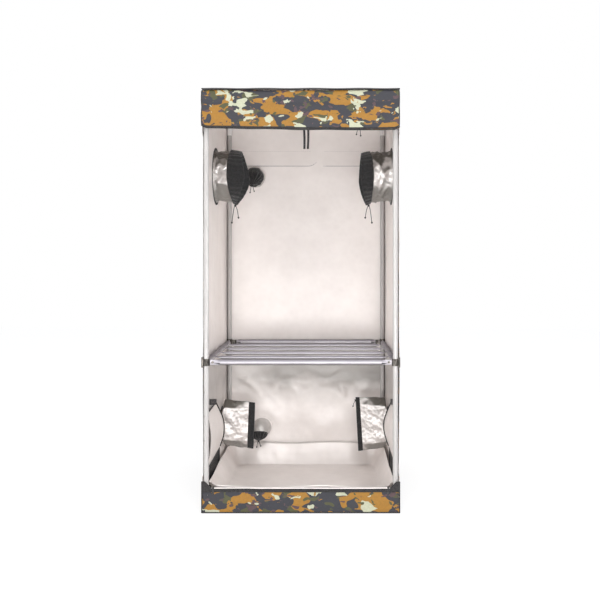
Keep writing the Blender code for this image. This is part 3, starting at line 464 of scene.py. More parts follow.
def weaveGroup():
    # plain weave from two sets of threads
    group, start, end = newGroup("wovenThreads", {"Thread Scale": 500.0}, ("Height", "Tone"))
    threads = []
    for axis in ("X", "Z"):
        wave = addNode(group, "ShaderNodeTexWave", {"bands_direction": axis, "Distortion": 0.3},
                       Vector=start["Vector"], Scale=start["Thread Scale"])
        threads.append(wave.outputs["Fac"])
    crossed = mathNode(group, "MULTIPLY", *threads)
    slub = addNode(group, "ShaderNodeTexNoise", {"Scale": 140.0, "Detail": 3.0}, Vector=start["Vector"])
    group.links.new(crossed, end["Height"])
    group.links.new(mathNode(group, "MULTIPLY_ADD", crossed, 0.25, slub.outputs["Fac"]), end["Tone"])
    return group


def wearGroup():
    # faint scuffs and dust on hard parts
    group, start, end = newGroup("handledWear", {"Scuff Scale": 70.0}, ("Scuff", "Dust"))
    drawn = addNode(group, "ShaderNodeMapping", {"Scale": (1.0, 1.0, 0.22)}, Vector=start["Vector"])
    scuff = addNode(group, "ShaderNodeTexNoise", {"Detail": 5.0, "Roughness": 0.7},
                    Vector=drawn.outputs["Vector"], Scale=start["Scuff Scale"])
    dust = addNode(group, "ShaderNodeTexNoise", {"Scale": 9.0, "Detail": 4.0}, Vector=start["Vector"])
    group.links.new(scuff.outputs["Fac"], end["Scuff"])
    group.links.new(dust.outputs["Fac"], end["Dust"])
    return group


groups = {
    "film": filmReliefGroup(),
    "camouflage": camouflageGroup(),
    "weave": weaveGroup(),
    "wear": wearGroup(),
}


# Finishes


def newFinish(name, sockets):
    material = bpy.data.materials.new(name)
    material.use_nodes = True
    tree = material.node_tree
    shader = tree.nodes["Principled BSDF"]
    for label, value in sockets.items():
        shader.inputs[label].default_value = value
    place = tree.nodes.new("ShaderNodeTexCoord").outputs["Object"]
    return material, tree, shader, place


def placeGroup(tree, key, place, settings):
    node = tree.nodes.new("ShaderNodeGroup")
    node.node_tree = groups[key]
    tree.links.new(place, node.inputs["Vector"])
    for label, value in settings.items():
        node.inputs[label].default_value = value
    return node.outputs


def wearOn(tree, shader, colour, rough, height, strength, distance):
    # colour, roughness and relief of a finish
    tree.links.new(colour, shader.inputs["Base Color"])
    if rough is not None:
        tree.links.new(rough, shader.inputs["Roughness"])
    bump = addNode(tree, "ShaderNodeBump", {"Strength": strength, "Distance": distance}, Height=height)
    tree.links.new(bump.outputs["Normal"], shader.inputs["Normal"])


def paintedFacingShade(tree, colour, low, high, shadeUp, shadeDown):
    # painted reflection: faces that turn up or down are painted darker, in place of the dim roof and ground
    # that crumpled film and bright tubes mirror
    normal = tree.nodes.new("ShaderNodeNewGeometry").outputs["Normal"]
    upward = addNode(tree, "ShaderNodeSeparateXYZ", Vector=normal).outputs["Z"]
    for way, shade in ((1, shadeUp), (-1, shadeDown)):
        reach = {"From Min": low * way, "From Max": high * way, "interpolation_type": "SMOOTHSTEP"}
        share = addNode(tree, "ShaderNodeMapRange", reach, Value=upward)
        colour = mixColours(tree, share.outputs["Result"], colour, (*shade, 1))
    return colour


def paintedShadeStrip(tree, colour, place, shade, strip, across=()):
    # painted shade: a dimmer strip below the shelf, where slack cloth lies in its shade
    parts = addNode(tree, "ShaderNodeSeparateXYZ", Vector=place).outputs
    sway = addNode(tree, "ShaderNodeTexNoise", {"Scale": 6.0, "Detail": 3.0}, Vector=place)
    swayed = mathNode(tree, "SUBTRACT", sway.outputs["Fac"], 0.5)
    share = rampNode(tree, mathNode(tree, "MULTIPLY_ADD", swayed, 0.16, parts["Z"]), *strip)
    if across:
        sideways = mathNode(tree, "ADD", parts["X"], 0.5)
        share = mathNode(tree, "MULTIPLY", share, rampNode(tree, sideways, *across))
    return mixColours(tree, share, colour, (*shade, 1))


def filmFinish(name, dark, light, metallic, rough, dents, crumple, bump, facing=None, strip=None):
    sockets = {"Metallic": metallic, "Coat Weight": 0.1, "Coat Roughness": 0.2}
    material, tree, shader, place = newFinish(name, sockets)
    scales = {"Dent Scale": dents, "Crumple Scale": crumple[0], "Crumple": crumple[1]}
    relief = placeGroup(tree, "film", place, scales)
    # painted shade: the colour follows the relief, darker in the dents and creases and lighter on the crests
    colour = rampNode(tree, relief["Tone"], (0.2, dark), (0.6, light))
    if facing:
        colour = paintedFacingShade(tree, colour, *facing)
    if strip:
        colour = paintedShadeStrip(tree, colour, place, *strip)
    dull = rampNode(tree, relief["Tone"], (0.2, rough[1]), (0.65, rough[0]))
    wearOn(tree, shader, colour, dull, relief["Height"], *bump)
    return material


def clothFinish(name, dark, light, threads, strength, sheen=0.0, rough=(0.75, 0.92)):
    material, tree, shader, place = newFinish(name, {"Sheen Weight": sheen, "Sheen Roughness": 0.5})
    weave = placeGroup(tree, "weave", place, {"Thread Scale": threads})
    colour = rampNode(tree, weave["Tone"], (0.25, dark), (0.8, light))
    grain = rampNode(tree, weave["Tone"], (0.2, rough[1]), (0.8, rough[0]))
    wearOn(tree, shader, colour, grain, weave["Height"], strength, 0.0006)
    return material


def printedCloth():
    sockets = {"Roughness": 0.62, "Sheen Weight": 0.08}
    material, tree, shader, place = newFinish("printedCloth", sockets)
    pattern = placeGroup(tree, "camouflage", place, {"Patch Scale": 17.0})
    weave = placeGroup(tree, "weave", place, {"Thread Scale": 420.0})
    shade = rampNode(tree, weave["Tone"], (0.3, 0.80), (0.8, 1.0))
    colour = mixColours(tree, 1.0, pattern["Color"], shade, "MULTIPLY")
    wearOn(tree, shader, colour, None, weave["Height"], 0.35, 0.0005)
    return material


def meshNetting():
    material, tree, shader, place = newFinish("meshNetting", {"Specular IOR Level": 0.3})
    fine = placeGroup(tree, "weave", place, {"Thread Scale": 230.0})
    colour = rampNode(tree, fine["Height"], (0.15, (0.004, 0.004, 0.005)), (0.6, (0.030, 0.030, 0.032)))
    rough = rampNode(tree, fine["Tone"], (0.2, 0.8), (0.8, 0.55))
    wearOn(tree, shader, colour, rough, fine["Height"], 0.15, 0.0006)
    return material


def hardFinish(name, base, scuffed, metallic, rough, strength, scuffs, coat=0.0, facing=None):
    material, tree, shader, place = newFinish(name, {"Metallic": metallic, "Coat Weight": coat})
    wear = placeGroup(tree, "wear", place, {"Scuff Scale": scuffs})
    colour = rampNode(tree, wear["Scuff"], (0.45, base), (0.78, scuffed))
    if facing:
        colour = paintedFacingShade(tree, colour, *facing)
    dull = rampNode(tree, wear["Dust"], (0.3, rough[0]), (0.7, rough[1]))
    wearOn(tree, shader, colour, dull, wear["Scuff"], strength, 0.0008)
    return material


linerTones = ((0.85, 0.795, 0.765), (0.93, 0.875, 0.845))
# painted shade of a strip below the shelf, and how much of it shows at each height and across the width
backPaintedShade = (
    (0.29, 0.275, 0.258),
    ((0.30, 0), (0.38, 0.35), (0.45, 0.9), (0.53, 0.9), (0.585, 0.5), (0.64, 0)),
    ((0.16, 0.4), (0.34, 0.9), (0.66, 0.9), (0.84, 1)),
)
sidePaintedShade = ((0.38, 0.355, 0.34), ((0.26, 0), (0.38, 0.6), (0.47, 0.8), (0.56, 0.6), (0.65, 0)))
# where the painted reflection on faces turned up or down begins and is full, and its painted colours above
# and below
filmPaintedReflection = (0.22, 0.60, (0.13, 0.12, 0.105), (0.30, 0.29, 0.27))
metalPaintedReflection = (0.12, 0.75, (0.19, 0.175, 0.20), (0.11, 0.10, 0.095))
# dark and light tone, painted as shade in the dents and as light on the crests, metallic, roughness, dent
# scale, crumple scale and share, bump strength and distance, and then a painted facing reflection or a
# painted shade strip
films = {
    "liner": (*linerTones, 0.10, (0.34, 0.48), 6.5, (30.0, 0.3), (0.6, 0.008)),
    "backLiner": (*linerTones, 0.08, (0.34, 0.5), 9.0, (34.0, 0.25), (0.4, 0.004), None, backPaintedShade),
    "sideLiner": (*linerTones, 0.08, (0.34, 0.5), 9.0, (34.0, 0.25), (0.4, 0.004), None, sidePaintedShade),
    "portFilm": ((0.44, 0.42, 0.40), (0.62, 0.60, 0.58), 0.35, (0.34, 0.46), 18.0, (40.0, 0.3), (0.3, 0.003)),
    "silverFilm": ((0.42, 0.395, 0.38), (0.66, 0.625, 0.605), 0.5, (0.30, 0.44), 16.0, (60.0, 0.7),
                   (0.7, 0.006), filmPaintedReflection),
    "trayFilm": ((0.85, 0.80, 0.77), (0.94, 0.885, 0.855), 0.15, (0.32, 0.45), 7.0, (26.0, 0.3),
                 (0.4, 0.004)),
}
# dark and light tone, threads, bump strength, sheen, roughness
cloths = {
    "blackTape": ((0.010, 0.009, 0.010), (0.030, 0.027, 0.028), 380.0, 0.5, 0.1),
    "blackKnit": ((0.006, 0.006, 0.006), (0.022, 0.021, 0.022), 260.0, 0.8, 0.25, (0.85, 0.98)),
    "blackCord": ((0.008, 0.008, 0.008), (0.026, 0.025, 0.025), 700.0, 0.8, 0.1),
    "greyThread": ((0.16, 0.15, 0.15), (0.24, 0.23, 0.23), 900.0, 0.4),
}
# plain and scuffed tone, metallic, roughness, bump strength, scuff scale, clear coat
hards = {
    "paintedTube": ((0.46, 0.44, 0.43), (0.40, 0.385, 0.375), 0.0, (0.28, 0.42), 0.06, 40.0, 0.2),
    "shelfMetal": ((0.50, 0.475, 0.51), (0.45, 0.43, 0.455), 0.3, (0.42, 0.52), 0.01, 50.0, 0.0, metalPaintedReflection),
    "clampMetal": ((0.030, 0.027, 0.024), (0.42, 0.38, 0.34), 0.75, (0.3, 0.5), 0.2, 90.0),
    "whitePlastic": ((0.78, 0.76, 0.75), (0.66, 0.64, 0.63), 0.0, (0.42, 0.55), 0.15, 90.0),
    "darkPlastic": ((0.014, 0.014, 0.015), (0.030, 0.030, 0.031), 0.0, (0.4, 0.6), 0.25, 260.0),
    "sliderMetal": ((0.030, 0.029, 0.030), (0.10, 0.097, 0.095), 0.6, (0.3, 0.5), 0.15, 240.0),
}
finishes = {"printedCloth": printedCloth(), "meshNetting": meshNetting()}
for maker, table in ((filmFinish, films), (clothFinish, cloths), (hardFinish, hards)):
    for name, values in table.items():
        finishes[name] = maker(name, *values)
print("finishes ready")


# Camera at the photograph's place: level, with a little shift


camera = {"place": (0.1133, -3.751, 1.0842), "lens": 47.5, "sensor": 36.0, "shift": (-0.046, -0.0735)}


def addCamera():
    data = bpy.data.cameras.new("viewCamera")
    data.sensor_width = camera["sensor"]
    data.lens = camera["lens"]
    data.shift_x, data.shift_y = camera["shift"]
    viewer = bpy.data.objects.new("viewCamera", data)
    viewer.location = camera["place"]
    viewer.rotation_euler = (radians(90), 0, 0)
    bpy.context.collection.objects.link(viewer)
    bpy.context.scene.camera = viewer


addCamera()


# Cords: drawcord ends at the two large sleeves, and the short tails of the ports and the roof sleeve


cordSettings = {
    "diameter": 0.003,
    "thin": 0.0025,
    "step": 0.0045,
    "spread": 0.016,
    "loop": 0.0045,
    "knotDrop": 0.009,
    "knotSize": 0.0046,
    # size, cord radius and lift of a tail's knot, in cord diameters
    "tailKnot": (1.25, 0.42, 0.3),
    # which way each end swings, how far forward and down it hangs, and where it bends
    "ends": {"Long": (1, 0, 0.085, 0.45), "Short": (-1, 0.008, 0.062, 0.50)},
}


def hermite(start, end, leave, arrive, t):
    a = 2 * t**3 - 3 * t**2 + 1
    b = t**3 - 2 * t**2 + t
    c = -2 * t**3 + 3 * t**2
    d = t**3 - t**2
    return start * a + leave * b + end * c + arrive * d


def smoothRoute(points, step):
    points = [Vector(point) for point in points]
    route = []
    padded = [points[0]] + points + [points[-1]]
    for i in range(1, len(padded) - 2):
        before, start, end, after = padded[i - 1 : i + 3]
        count = max(1, round((end - start).length / step))
        for k in range(count):
            route.append(hermite(start, end, (end - before) / 2, (after - start) / 2, k / count))
    route.append(points[-1])
    return route


def cordCurve(name, route, diameter):
    curve = bpy.data.curves.new(name, "CURVE")
    curve.dimensions = "3D"
    curve.bevel_depth = diameter / 2
    curve.bevel_resolution = 4
    curve.use_fill_caps = True
    spline = curve.splines.new("POLY")
    spline.points.add(len(route) - 1)
    for point, place in zip(spline.points, route):
        point.co = (*place, 1)
    curve.materials.append(finishes["blackCord"])
    piece = bpy.data.objects.new(name, curve)
    bpy.context.collection.objects.link(piece)
    return piece


def cordKnot(name, centre, size, cordRadius=0.0015):
    # a thumb knot, drawn tight
    turn = np.linspace(0, 2 * pi, 49)[:-1]
    x = np.sin(turn) + 2 * np.sin(2 * turn)
    y = np.cos(turn) - 2 * np.cos(2 * turn)
    z = -np.sin(3 * turn)
    line = pointGrid(x, z * 0.9, y) / 3 * size + np.asarray(centre)
    tangent = unit(np.roll(line, -1, 0) - np.roll(line, 1, 0))
    points = sweptPoints(line, tangent, line - np.asarray(centre), cordRadius, 8)
    return seat(closedMesh(name, points, ringFaces(len(line), 8, closed=True), ["blackCord"]))


def addCord(name, points, diameter, node=None):
    # every cord hangs free and ends in a knot
    route = smoothRoute(points, cordSettings["step"])
    cord = seat(cordCurve(name, route, diameter), node)
    end = Vector(points[-1])
    size, cordRadius, lift = (diameter * share for share in cordSettings["tailKnot"])
    knot = cordKnot(f"{name}Knot", (end.x, end.y, end.z + lift), size, cordRadius)


def sleeveDrawcords():
    s = cordSettings
    for side, sign in bothSides:
        node = f"drawcord_{side}"
        low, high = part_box(node)
        knot = Vector(((low.x + high.x) / 2, 0, high.z - s["diameter"] / 2))
        for kind, (swing, forward, drop, bend) in s["ends"].items():
            way = swing * sign
            end = knot + Vector((way * s["spread"], -forward, -drop))
            middle = knot + (end - knot) * bend + Vector((way * s["diameter"], 0, 0))
            line = [knot, knot + Vector((way * s["loop"], 0, -s["knotDrop"])), middle, end]
            addCord(f"drawcord{kind}{side.title()}", line, s["diameter"], node)
        cordKnot(f"sleeveKnot{side.title()}", knot - Vector((0, 0, 0.003)), s["knotSize"])


sleeveDrawcords()
print("camera and cords placed")


# Cover panels: liner inside, printed cloth outside, black tape at the edges


sleeves = {
    "ductCentre": (0.0, 1.460),
    "ductRadius": 0.125,
    "intakeCentre": (0.200, 0.245),
    "intakeRadius": 0.080,
    "portRadius": 0.049,
    "portHem": 0.006,
    "roofRadius": 0.075,
    "hem": 0.010,
    "hemThickness": 0.002,
    "outerHem": 0.0015,
}
ports = {"upper": (-0.2645, 1.4945), "lower": (-0.231, 0.184)}
ductCentre, intakeCentre = sleeves["ductCentre"], sleeves["intakeCentre"]
roofPortLow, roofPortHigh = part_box("roof_sleeve")
roofCentre = ((roofPortLow.x + roofPortHigh.x) / 2, (roofPortLow.y + roofPortHigh.y) / 2)

panels = {
    "cell": 0.009,
    "roofCell": 0.012,
    "floorCell": 0.016,
    # size and share of the folds, how far they push and how far the cloth leans out
    "longFold": ((0.3, 0.055, 0.42), 0.55),
    "broadFold": ((0.3, 0.24, 0.3), 0.6),
    "billow": 0.009,
    "lean": 0.002,
    "quiet": 0.05,
    "edgeCalm": 0.06,
    "roundCalm": 0.05,
    "doorFoot": 0.154,
    "doorHead": 1.591,
    "doorSet": 0.02725,
    "ease": 0.020,
    "shelfFoot": 0.447,
    "shelfRoom": 0.0012,
    "windowFront": -0.260,
    "windowRear": 0.110,
    "windowFoot": 0.035,
    "windowHead": 0.146,
}


def doorSetBack(z):
    # how far the side walls' front edges lie back in the height of the doorway
    s = panels
    above = ease((z - s["doorFoot"] + s["ease"]) / s["ease"])
    return s["doorSet"] * (above * (1 - ease((z - s["doorHead"]) / s["ease"])))


def sideWall(side, sign):
    s = panels
    low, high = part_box(f"{side}_wall")
    ys = cuts(low.y, high.y, [s["windowFront"], s["windowRear"]], s["cell"])
    zs = cuts(low.z, high.z, [s["windowFoot"], s["windowHead"]], s["cell"])
    y, z = np.meshgrid(ys, zs)
    y = y + doorSetBack(z) * np.clip(1 - (y - low.y) / (2 * s["quiet"]), 0, 1)
    middleY, middleZ = cellMiddles(y), cellMiddles(z)
    window = (middleY > s["windowFront"]) & (middleY < s["windowRear"])
    keep = ~(window & (middleZ > s["windowFoot"]) & (middleZ < s["windowHead"]))
    openRound(y, z, keep, ductCentre, sleeves["ductRadius"])
    openRound(y, z, keep, intakeCentre, sleeves["intakeRadius"])
    place = pointGrid(sign * 0.4, y, z)
    (longSize, longShare), (broadSize, broadShare) = s["longFold"], s["broadFold"]
    folds = layeredNoise(place, longSize, 11 + sign) * longShare
    folds = folds + softNoise(place, broadSize, 40 + sign) * broadShare
    still = calm(y, low.y, high.y, s["edgeCalm"]) * calm(z, low.z, high.z, s["edgeCalm"])
    for centre, radius in ((ductCentre, sleeves["ductRadius"]), (intakeCentre, sleeves["intakeRadius"])):
        still = still * clearOf(y, z, centre, radius + sleeves["hem"] + 0.002, s["roundCalm"])
    beyond = [s["windowFront"] - y, y - s["windowRear"], s["windowFoot"] - z, z - s["windowHead"] - 0.02]
    still = still * ease(np.maximum.reduce(beyond) / s["roundCalm"])
    push = (folds * s["billow"] + s["lean"]) * still
    inner = pointGrid(sign * (cover["innerX"] + push), y, z)
    outer = pointGrid(sign * (cover["outerX"] + push), y, z)
    wall = twoSkins(f"{side}WallCloth", inner, outer, ("sideLiner", "printedCloth"), keep, (0, 1, 0))
    seatSheet(wall, f"{side}_wall")


band = {
    "foot": 1.557,
    "head": 1.636,
    "lift": 0.0045,
    "seam": 0.0011,
    "stitch": (0.0036, 0.0009, 0.0009),
    "pitch": 0.011,
    # left and right end, and how far the lower seam curls on past it
    "spans": ((-0.369, 0.031, 0.024), (0.084, 0.379, 0.0)),
}
slack = {"left": -0.120, "right": 0.340, "foot": 0.040, "head": 0.400, "depth": 0.028}
backCalm = {"edge": 0.05, "hem": 0.008, "port": 0.03, "bandRoom": 0.05, "band": 0.04, "bandEnd": 0.016}
backFolds = {
    # small folds everywhere, deeper below the height where the cloth is loose
    "small": {"size": (0.16, 0.3, 0.12), "depth": 0.0012, "looseDepth": 0.008, "looseBelow": 0.5,
              "reach": 0.1},
    "ridge": {"at": (-0.305, 0.418), "slope": (0.67, 0.74), "width": 0.016, "reach": 0.125, "depth": 0.010},
    "pleat": {"at": (0.197, 0.365), "lean": 0.35, "width": 0.014, "foot": 0.325, "head": 0.425,
              "depth": 0.010},
    "crumple": {"size": 0.06, "foot": 0.28, "head": 0.56, "depth": 0.004},
}


def slackAt(x, z):
    # how far the slack foot of the back wall hangs forward
    gather = hump(x, slack["left"], slack["right"]) * hump(z, slack["foot"], slack["head"])
    return slack["depth"] * gather


def backWallFolds(x, z, place):
    small, ridge, pleat, crumple = (backFolds[kind] for kind in ("small", "ridge", "pleat", "crumple"))
    ridgeX, ridgeZ = x - ridge["at"][0], z - ridge["at"][1]
    across = ridgeX * ridge["slope"][0] + ridgeZ * ridge["slope"][1]
    along = ridgeX * ridge["slope"][1] - ridgeZ * ridge["slope"][0]
    ridged = np.exp(-((across / ridge["width"]) ** 2)) * hump(along, -ridge["reach"], ridge["reach"])
    beside = x - pleat["at"][0] + (z - pleat["at"][1]) * pleat["lean"]
    pleated = np.exp(-((beside / pleat["width"]) ** 2)) * hump(z, pleat["foot"], pleat["head"])
    crumpled = creased(place, crumple["size"], 77, 3) * hump(z, crumple["foot"], crumple["head"])
    loose = ease((small["looseBelow"] - z) / small["reach"])
    rippled = layeredNoise(place, small["size"], 60) * (small["depth"] + small["looseDepth"] * loose)
    return rippled + ridge["depth"] * ridged + pleat["depth"] * pleated + crumple["depth"] * crumpled


def backWall():
    low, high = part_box("back_wall")
    radius, width = sleeves["portRadius"], cover["innerX"]
    xs = cuts(-width, width, [], panels["cell"])
    zs = cuts(low.z, high.z, [band["foot"] - 0.0015, band["foot"], band["head"]], panels["cell"])
    x, z = np.meshgrid(xs, zs)
    keep = np.ones((len(zs) - 1, len(xs) - 1), bool)
    for centre in ports.values():
        openRound(x, z, keep, centre, radius)
    s = backCalm
    still = calm(x, -width, width, s["edge"]) * calm(z, low.z, high.z, s["edge"])
    for centre in ports.values():
        still = still * clearOf(x, z, centre, radius + s["hem"], s["port"])
    still = still * (1 - calm(z, band["foot"] - s["bandRoom"], band["head"] + s["bandRoom"], s["band"]))
    push = slackAt(x, z) + still * backWallFolds(x, z, pointGrid(x, 0.4, z))
    # above this height the shelf's rear tube passes close by
    room = panels["shelfRoom"] + slack["depth"] * (1 - ease((z - panels["shelfFoot"] + 0.02) / 0.02))
    push = np.clip(push, -0.004, room)
    rise = np.clip((band["head"] - z) / (band["head"] - band["foot"]), 0, 1) * (z >= band["foot"] - 0.0001)
    for left, right, _ in band["spans"]:
        push = push + band["lift"] * rise**1.3 * calm(x, left, right, s["bandEnd"])
    inner = pointGrid(x, cover["innerY"] - push, z)
    outer = pointGrid(x, cover["outerY"] - push, z)
    wall = twoSkins("backWallCloth", inner, outer, ("backLiner", "printedCloth"), keep, (0, 1, 0))
    seatSheet(wall, "back_wall")


def stitchRow(name, line, normal):
    pitch, size = band["pitch"], band["stitch"]
    at = walkAlong(line, pitch, pitch / 2, pitch)
    along = walkAlong(line, pitch, pitch / 2, pitch, pitch / 2) - at
    frames = zip(at + np.asarray(normal) * size[2] / 2, along, np.cross(normal, along))
    smallBlocks(name, frames, size, "greyThread")


def backBands():
    # seams of the sewn band, in two lengths with a gap for the straps' path
    s = band
    for index, (left, right, curl) in enumerate(s["spans"]):
        along = np.linspace(left + 0.004, right - 0.004, 60)
        upper = pointGrid(along, cover["innerY"] - 0.0012, s["head"] - 0.002)
        stitchRow(f"backBandStitches{index + 1}", upper, (0, -1, 0))
        along = np.linspace(left + 0.004, right + curl, 80)
        turned = np.clip((along - right + 0.02) / (curl + 0.02), 0, 1) ** 2 if curl else 0
        lift = cover["innerY"] - s["lift"] * calm(along, left, right, backCalm["bandEnd"]) - 0.0012
        lower = pointGrid(along, lift, s["foot"] - 0.001 + 0.021 * turned)
        taper = 0.35 + 0.65 * calm(along, left, right + curl, 0.03)
        tubeAlong(f"backBandSeam{index + 1}", lower, s["seam"], "greyThread", 8, taper)


roofCloth = {"edgeCalm": 0.08, "hem": 0.012, "roundCalm": 0.05, "sag": 0.0018, "ripple": 0.0025,
             "rippleSize": 0.22, "mostUp": 0.004}


def roofAndFloor():
    s = roofCloth
    low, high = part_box("roof_panel")
    radius, cell = sleeves["roofRadius"], panels["roofCell"]
    x, y = np.meshgrid(cuts(low.x, high.x, [], cell), cuts(low.y, high.y, [], cell))
    keep = np.ones((x.shape[0] - 1, x.shape[1] - 1), bool)
    openRound(x, y, keep, roofCentre, radius)
    still = calm(x, low.x, high.x, s["edgeCalm"]) * calm(y, low.y, high.y, s["edgeCalm"])
    still = still * clearOf(x, y, roofCentre, radius + s["hem"], s["roundCalm"])
    sag = (s["sag"] + s["ripple"] * layeredNoise(pointGrid(x, y, 1.8), s["rippleSize"], 70)) * still
    upper = pointGrid(x, y, high.z - np.maximum(sag, -s["mostUp"]))
    lower = upper - np.array([0, 0, cover["cloth"]])
    roof = twoSkins("roofCloth", lower, upper, ("liner", "printedCloth", "blackTape"), keep)
    seatSheet(roof, "roof_panel")

    low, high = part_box("floor_panel")
    cell = panels["floorCell"]
    x, y = np.meshgrid(cuts(low.x, high.x, [], cell), cuts(low.y, high.y, [], cell))
    upper, lower = pointGrid(x, y, high.z), pointGrid(x, y, low.z)
    floor = twoSkins("floorCloth", upper, lower, ("liner", "blackTape", "blackTape"))
    seatSheet(floor, "floor_panel")


for side, sign in bothSides:
    sideWall(side, sign)
backWall()
backBands()
roofAndFloor()
print("cover panels sewn")


# The rolled door


door = {
    "start": -0.62 * pi,
    "turns": 4.2,
    "pitch": 0.0032,
    "thickness": 0.0010,
    "boxed": 0.62,
    # room that the roll leaves to its box at the sides and at head and foot, and how far its middle is off
    "room": (0.002, 0.004),
    "shift": 0.002,
    "crease": 0.0150,
    "creaseHeight": 1.699,
    "creaseReach": 0.017,
    "creaseSway": 0.006,
    "wave": 0.0035,
    "footWave": 0.003,
    "broadWave": 0.0015,
    "trim": 0.005,
    "tilt": 0.0045,
    # how far in the ends of the roll are pinched, and how much from below and from above
    "endPinch": (0.021, 0.13, 0.02),
    "footCord": 0.0045,
    # how far the foot's cord lies forward, in half depths of the roll, and up, in its own radii
    "footSeat": (0.42, 0.3),
    "headCord": 0.0038,
    "headBand": (0.022, 0.0016),
    "strap": (0.0092, 0.0011),
    "strapCut": 0.010,
    # how the straps sway, and how far back their ends turn below this share of their drop
    "strapSway": (0.0012, 9),
    "strapTurn": (0.004, 0.72),
}


def rolledDoor():
    s = door
    halfDepth = (rollHigh.y - rollLow.y) / 2 - s["room"][0]
    halfHeight = (rollHigh.z - rollLow.z) / 2 - s["room"][1]
    centreY, centreZ = (rollHigh.y + rollLow.y) / 2 + s["shift"], (rollHigh.z + rollLow.z) / 2 + s["shift"]
    middle = np.linspace(rollLow.x + s["trim"], rollHigh.x - s["trim"], 100)
    xs = np.concatenate([[rollLow.x], middle, [rollHigh.x]])
    count = 300
    share = np.linspace(0, 1, count)
    angle = s["start"] - 2 * pi * s["turns"] * share
    inset = s["pitch"] * s["turns"] * share
    # rounded box outline, drawn once and then wound inwards
    c, n = np.cos(angle), np.sin(angle)
    y = np.sign(c) * np.abs(c) ** s["boxed"] * (halfDepth - inset)
    z = np.sign(n) * np.abs(n) ** s["boxed"] * (halfHeight - inset)
    x, across = np.meshgrid(xs, np.arange(count))
    y, z = y[across], z[across]

    def ripple(size, seed):
        return softNoise(pointGrid(x, 0, 0), (size, 1, 1), seed)

    front = ease(0.5 - y / halfDepth)
    sway = softNoise(pointGrid(x, 0, z * 0.3), (0.16, 1, 0.2), 5)
    creaseAt = s["creaseHeight"] + s["creaseSway"] * ripple(0.2, 8) - centreZ
    depth = s["crease"] * (0.85 + 0.25 * ripple(0.13, 9))
    y = y + front * depth * np.exp(-(((z - creaseAt) / s["creaseReach"]) ** 2))
    y = y + front * s["wave"] * sway - 0.0006 * front
    low = ease((-z - halfHeight * 0.5) / (halfHeight * 0.5))
    z = z + low * s["footWave"] * ripple(0.11, 15) + s["broadWave"] * ripple(0.3, 16)
    z = z - low * s["tilt"] * x / rollHigh.x
    reach, fromBelow, fromAbove = s["endPinch"]
    cornered = np.clip(1 - np.minimum(x - rollLow.x, rollHigh.x - x) / reach, 0, 1)
    z = np.where(z < 0, z * (1 - fromBelow * cornered**1.4), z * (1 - fromAbove * cornered))
    outer = pointGrid(x, y + centreY, z + centreZ)
    normal = unit(np.cross(np.gradient(outer, axis=0), np.gradient(outer, axis=1)))
    toCentre = np.array([0, centreY, centreZ]) - outer
    toCentre[..., 0] = 0
    normal *= np.sign((normal * toCentre).sum(-1, keepdims=True))
    inner = outer + normal * s["thickness"]
    bound = np.zeros((count - 1, len(xs) - 1), bool)
    bound[:, [0, -1]] = True
    bound[:3] = True
    tones = ("printedCloth", "silverFilm", "blackTape")
    sheet = twoSkins("rolledDoorCloth", inner, outer, tones, slots=(1, 0, 2), bound=bound)
    seatSheet(sheet, "door_roll")
    return outer, halfDepth


def rollBindings(grid, halfDepth):
    # the bound foot of the door shows as a black cord along the bottom of the roll
    outer = grid[:66]
    lowest = outer[..., 2].argmin(axis=0)
    forward, up = door["footSeat"]
    seated = np.array([0, -halfDepth * forward, door["footCord"] * up])
    foot = outer[lowest, np.arange(outer.shape[1])] + seated
    tubeAlong("rollFootBand", foot, door["footCord"], count=12)
    # piping where the door leaves the roof's front edge
    xs = np.linspace(-cover["outerX"] + 0.001, cover["outerX"] - 0.001, 90)
    edge = pointGrid(xs, -cover["outerY"] - 0.0022, cover["top"] - 0.001 + 0.0008 * np.sin(xs * 31))
    tubeAlong("roofFrontPiping", edge, door["headCord"])
    top = pointGrid(xs[1:-1], (rollLow.y + rollHigh.y) / 2 - 0.006, rollHigh.z + 0.0006)
    ribbonAlong("rollHeadBand", top, (0, -0.35, 0.937), *door["headBand"])


def tieStraps():
    low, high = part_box("door_tie_straps")
    (width, thickness), (sway, waves), (back, begin) = door["strap"], door["strapSway"], door["strapTurn"]
    drop = np.linspace(0, 1, 40)
    straps = []
    for index, left in enumerate((low.x - 0.0006, high.x - width + 0.0006)):
        x = left + width / 2 + sway * np.sin(drop * waves + index)
        y = -cover["innerY"] - 0.0007 + back * ease((drop - begin) / (1 - begin))
        line = pointGrid(x, y, high.z - (high.z - low.z) * drop)
        node = None if straps else "door_tie_straps"
        straps.append(ribbonAlong(f"tieStrap{index + 1}", line, (0, 1, 0), width, thickness, node=node))


rollBindings(*rolledDoor())
tieStraps()
print("door rolled and tied")


# Sleeves: a tube of film, then a knitted cuff


def wallHems(kind, side, sign, centre, radius, width, height):
    # tape round a side wall's opening, inside and outside
    name, ring = side.title(), (radius - 0.001, radius + width)
    bandRing(f"{kind}Hem{name}", (sign * cover["innerX"], *centre), (-sign, 0, 0), *ring, height)
    outside = (sign * cover["outerX"], *centre)
    bandRing(f"{kind}OuterHem{name}", outside, (sign, 0, 0), *ring, sleeves["outerHem"])


ductSettings = {
    # depths of the film and of the mouth, each at the top, the sides and the bottom
    "left": {"root": (0.070, 0.063, 0.080), "mouth": (0.122, 0.147, 0.098), "seed": 210,
             "phase": 0.3, "twist": 0.9, "lift": 0.008},
    "right": {"root": (0.100, 0.0885, 0.096), "mouth": (0.143, 0.149, 0.120), "seed": 240,
              "phase": 0.75, "twist": -0.7, "lift": 0.0},
}
ductCloth = {
    "sheet": 0.0011,
    # flat sides of film and cuff, and how strongly they show
    "filmFlats": ((6, 0.55), (9, 0.8)),
    "cuffFlats": (6, 0.35),
    "crumple": 0.0035,
    "gather": 0.0015,
    "gathers": 31,
    "drawIn": 0.004,
    "hang": 0.012,
}


